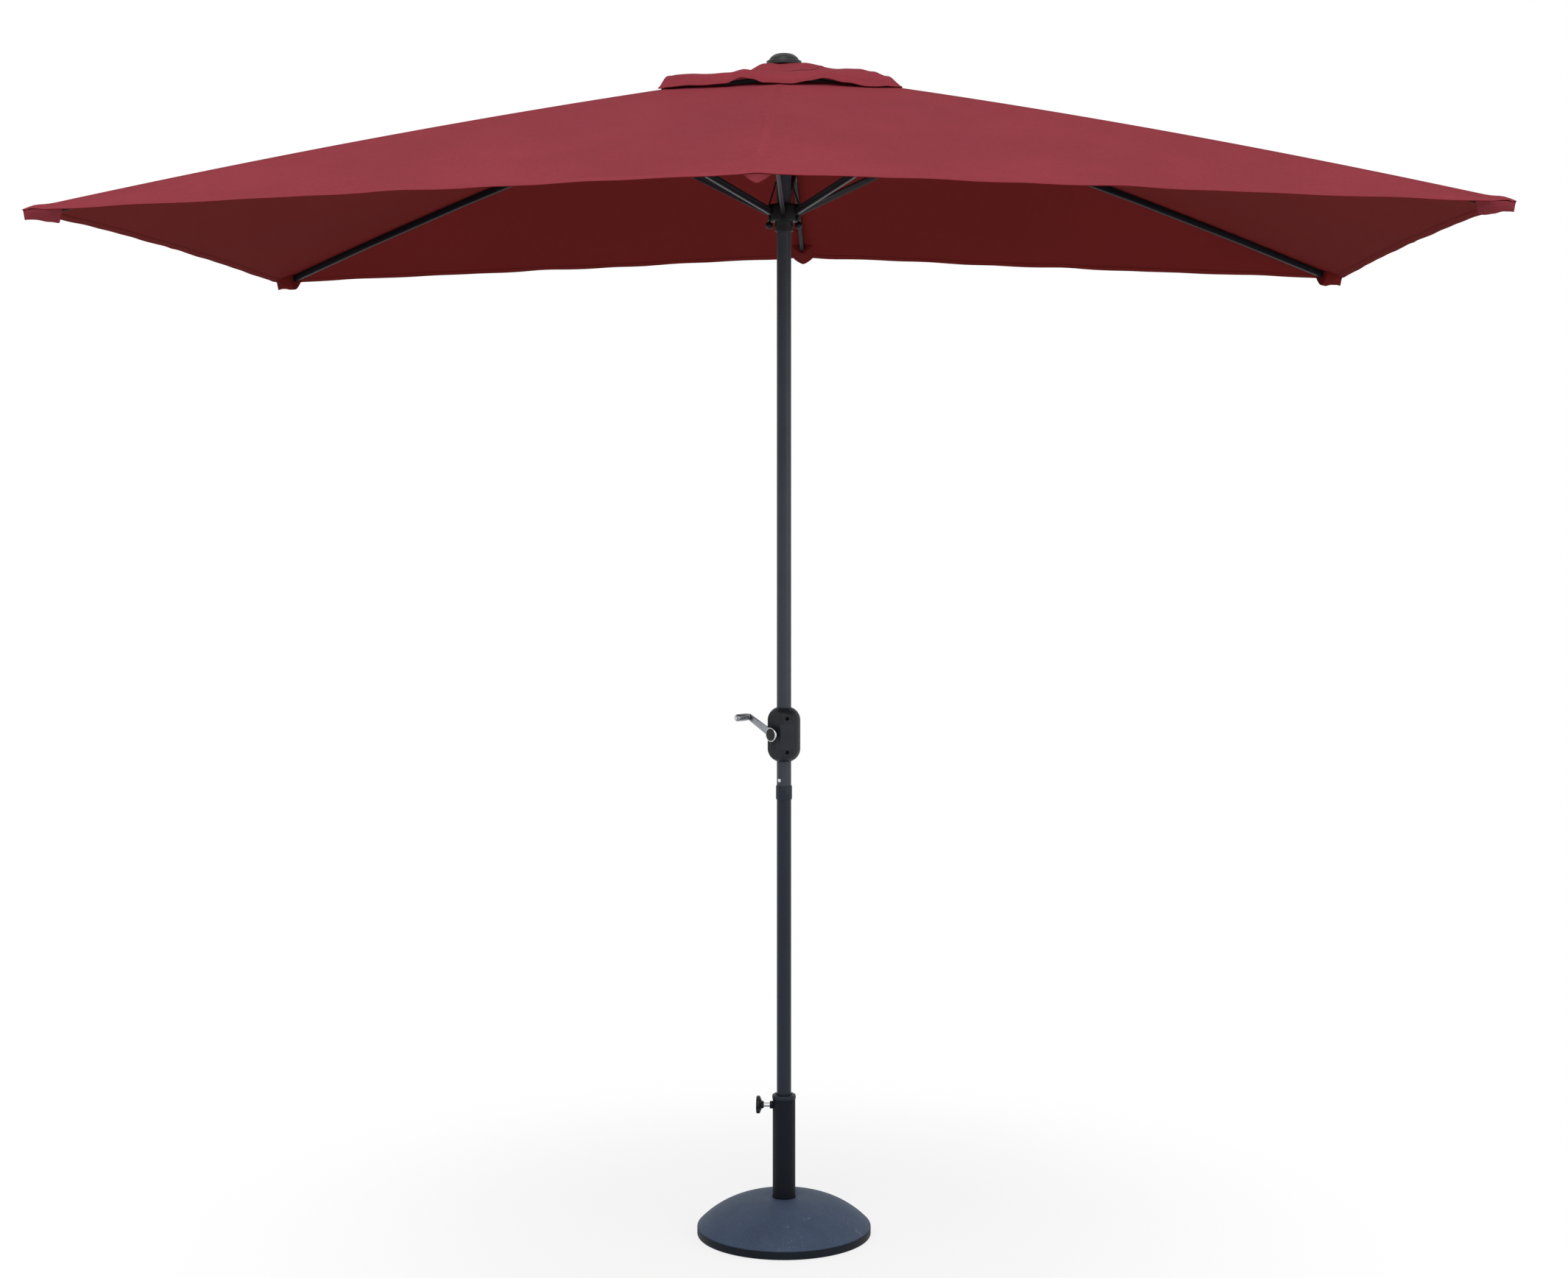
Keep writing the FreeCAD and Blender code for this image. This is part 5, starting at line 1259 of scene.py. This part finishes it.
class UMBRELLA_OT_stage(bpy.types.Operator):
    """Set up the floor, the light and the camera"""
    bl_idname = "umbrella.stage"
    bl_label = "Stage"

    def execute(self, context):
        scene = context.scene
        stage = scene.umbrella_stage
        scene.view_settings.view_transform = "Standard"
        bm = bmesh.new()
        bmesh.ops.create_grid(bm, x_segments=1, y_segments=1, size=30)
        mesh = bpy.data.meshes.new("floor")
        bm.to_mesh(mesh)
        bm.free()
        floor = bpy.data.objects.new("floor", mesh)
        scene.collection.objects.link(floor)
        material, tree, surface = new_material("Studio floor", Base_Color=tuple(stage.floor_colour), Roughness=0.9)
        place = add(tree, "TexCoord").outputs["Object"]
        away = add(tree, "VectorMath", {0: place}, operation="LENGTH").outputs["Value"]
        white = add(tree, "Emission", {"Color": (1, 1, 1, 1), "Strength": 1.0})
        share = sums(tree, "MULTIPLY", seen_rays(tree), ramp(tree, away, 0.30, 1.6, 0.76, 1.0))
        mixed = add(tree, "MixShader", {0: share, 1: surface.outputs[0], 2: white.outputs[0]})
        output = next(node for node in tree.nodes if node.type == "OUTPUT_MATERIAL")
        tree.links.new(mixed.outputs[0], output.inputs["Surface"])
        mesh.materials.append(material)
        world = bpy.data.worlds.new("Studio")
        scene.world = world
        world.use_nodes = True
        sky = world.node_tree
        sky.nodes.clear()
        soft = add(sky, "Background", {"Color": (0.95, 0.97, 1.0, 1), "Strength": 0.5})
        plain = add(sky, "Background", {"Color": (1, 1, 1, 1), "Strength": 1.0})
        both = add(sky, "MixShader", {0: seen_rays(sky), 1: soft.outputs[0], 2: plain.outputs[0]})
        end = sky.nodes.new("ShaderNodeOutputWorld")
        sky.links.new(both.outputs[0], end.inputs["Surface"])
        for name, place, power, extent in (
            ("key light", Vector((-0.5, -4.3, 6.2)), 222.0, 3.6),
            ("side light", Vector((4.6, -2.6, 2.2)), 46.0, 2.4),
        ):
            data = bpy.data.lights.new(name, "AREA")
            data.energy = power
            data.size = extent
            lamp = bpy.data.objects.new(name, data)
            lamp.location = place
            lamp.rotation_mode = "QUATERNION"
            lamp.rotation_quaternion = (Vector((0, 0, 1.7)) - place).to_track_quat("-Z", "Y")
            scene.collection.objects.link(lamp)
        data = bpy.data.cameras.new("camera")
        data.sensor_width = 36.0
        data.lens = stage.lens
        data.shift_y = stage.shift
        data.clip_start, data.clip_end = 0.05, 100.0
        camera = bpy.data.objects.new("camera", data)
        turn = stage.camera_turn
        camera.location = (stage.camera_distance * math.sin(turn), -stage.camera_distance * math.cos(turn),
                           stage.camera_height)
        camera.rotation_euler = (math.pi / 2, 0, turn)
        scene.collection.objects.link(camera)
        scene.camera = camera
        return {"FINISHED"}


class UMBRELLA_PT_build(bpy.types.Panel):
    """The umbrella's steps"""
    bl_label = "Patio Umbrella"
    bl_space_type = "VIEW_3D"
    bl_region_type = "UI"
    bl_category = "Umbrella"

    def draw(self, context):
        layout = self.layout
        for group in (context.scene.umbrella_cloth, context.scene.umbrella_finish, context.scene.umbrella_stage):
            box = layout.box()
            for label in group.__annotations__:
                box.prop(group, label)
        for operator in STEPS:
            layout.operator(operator.bl_idname)


STEPS = [
    UMBRELLA_OT_materials, UMBRELLA_OT_frame, UMBRELLA_OT_canopy, UMBRELLA_OT_vent_cap, UMBRELLA_OT_cords,
    UMBRELLA_OT_stage,
]
CLASSES = [UmbrellaCloth, UmbrellaFinish, UmbrellaStage, *STEPS, UMBRELLA_PT_build]
SETTINGS = {
    "umbrella_cloth": UmbrellaCloth, "umbrella_finish": UmbrellaFinish, "umbrella_stage": UmbrellaStage,
}


def register():
    for made in CLASSES:
        bpy.utils.register_class(made)
    for name, kind in SETTINGS.items():
        setattr(bpy.types.Scene, name, bpy.props.PointerProperty(type=kind))


def unregister():
    for name in SETTINGS:
        delattr(bpy.types.Scene, name)
    for made in reversed(CLASSES):
        bpy.utils.unregister_class(made)


def main():
    register()
    for step in STEPS:
        group, name = step.bl_idname.split(".")
        getattr(getattr(bpy.ops, group), name)()


if __name__ == "__main__":
    main()
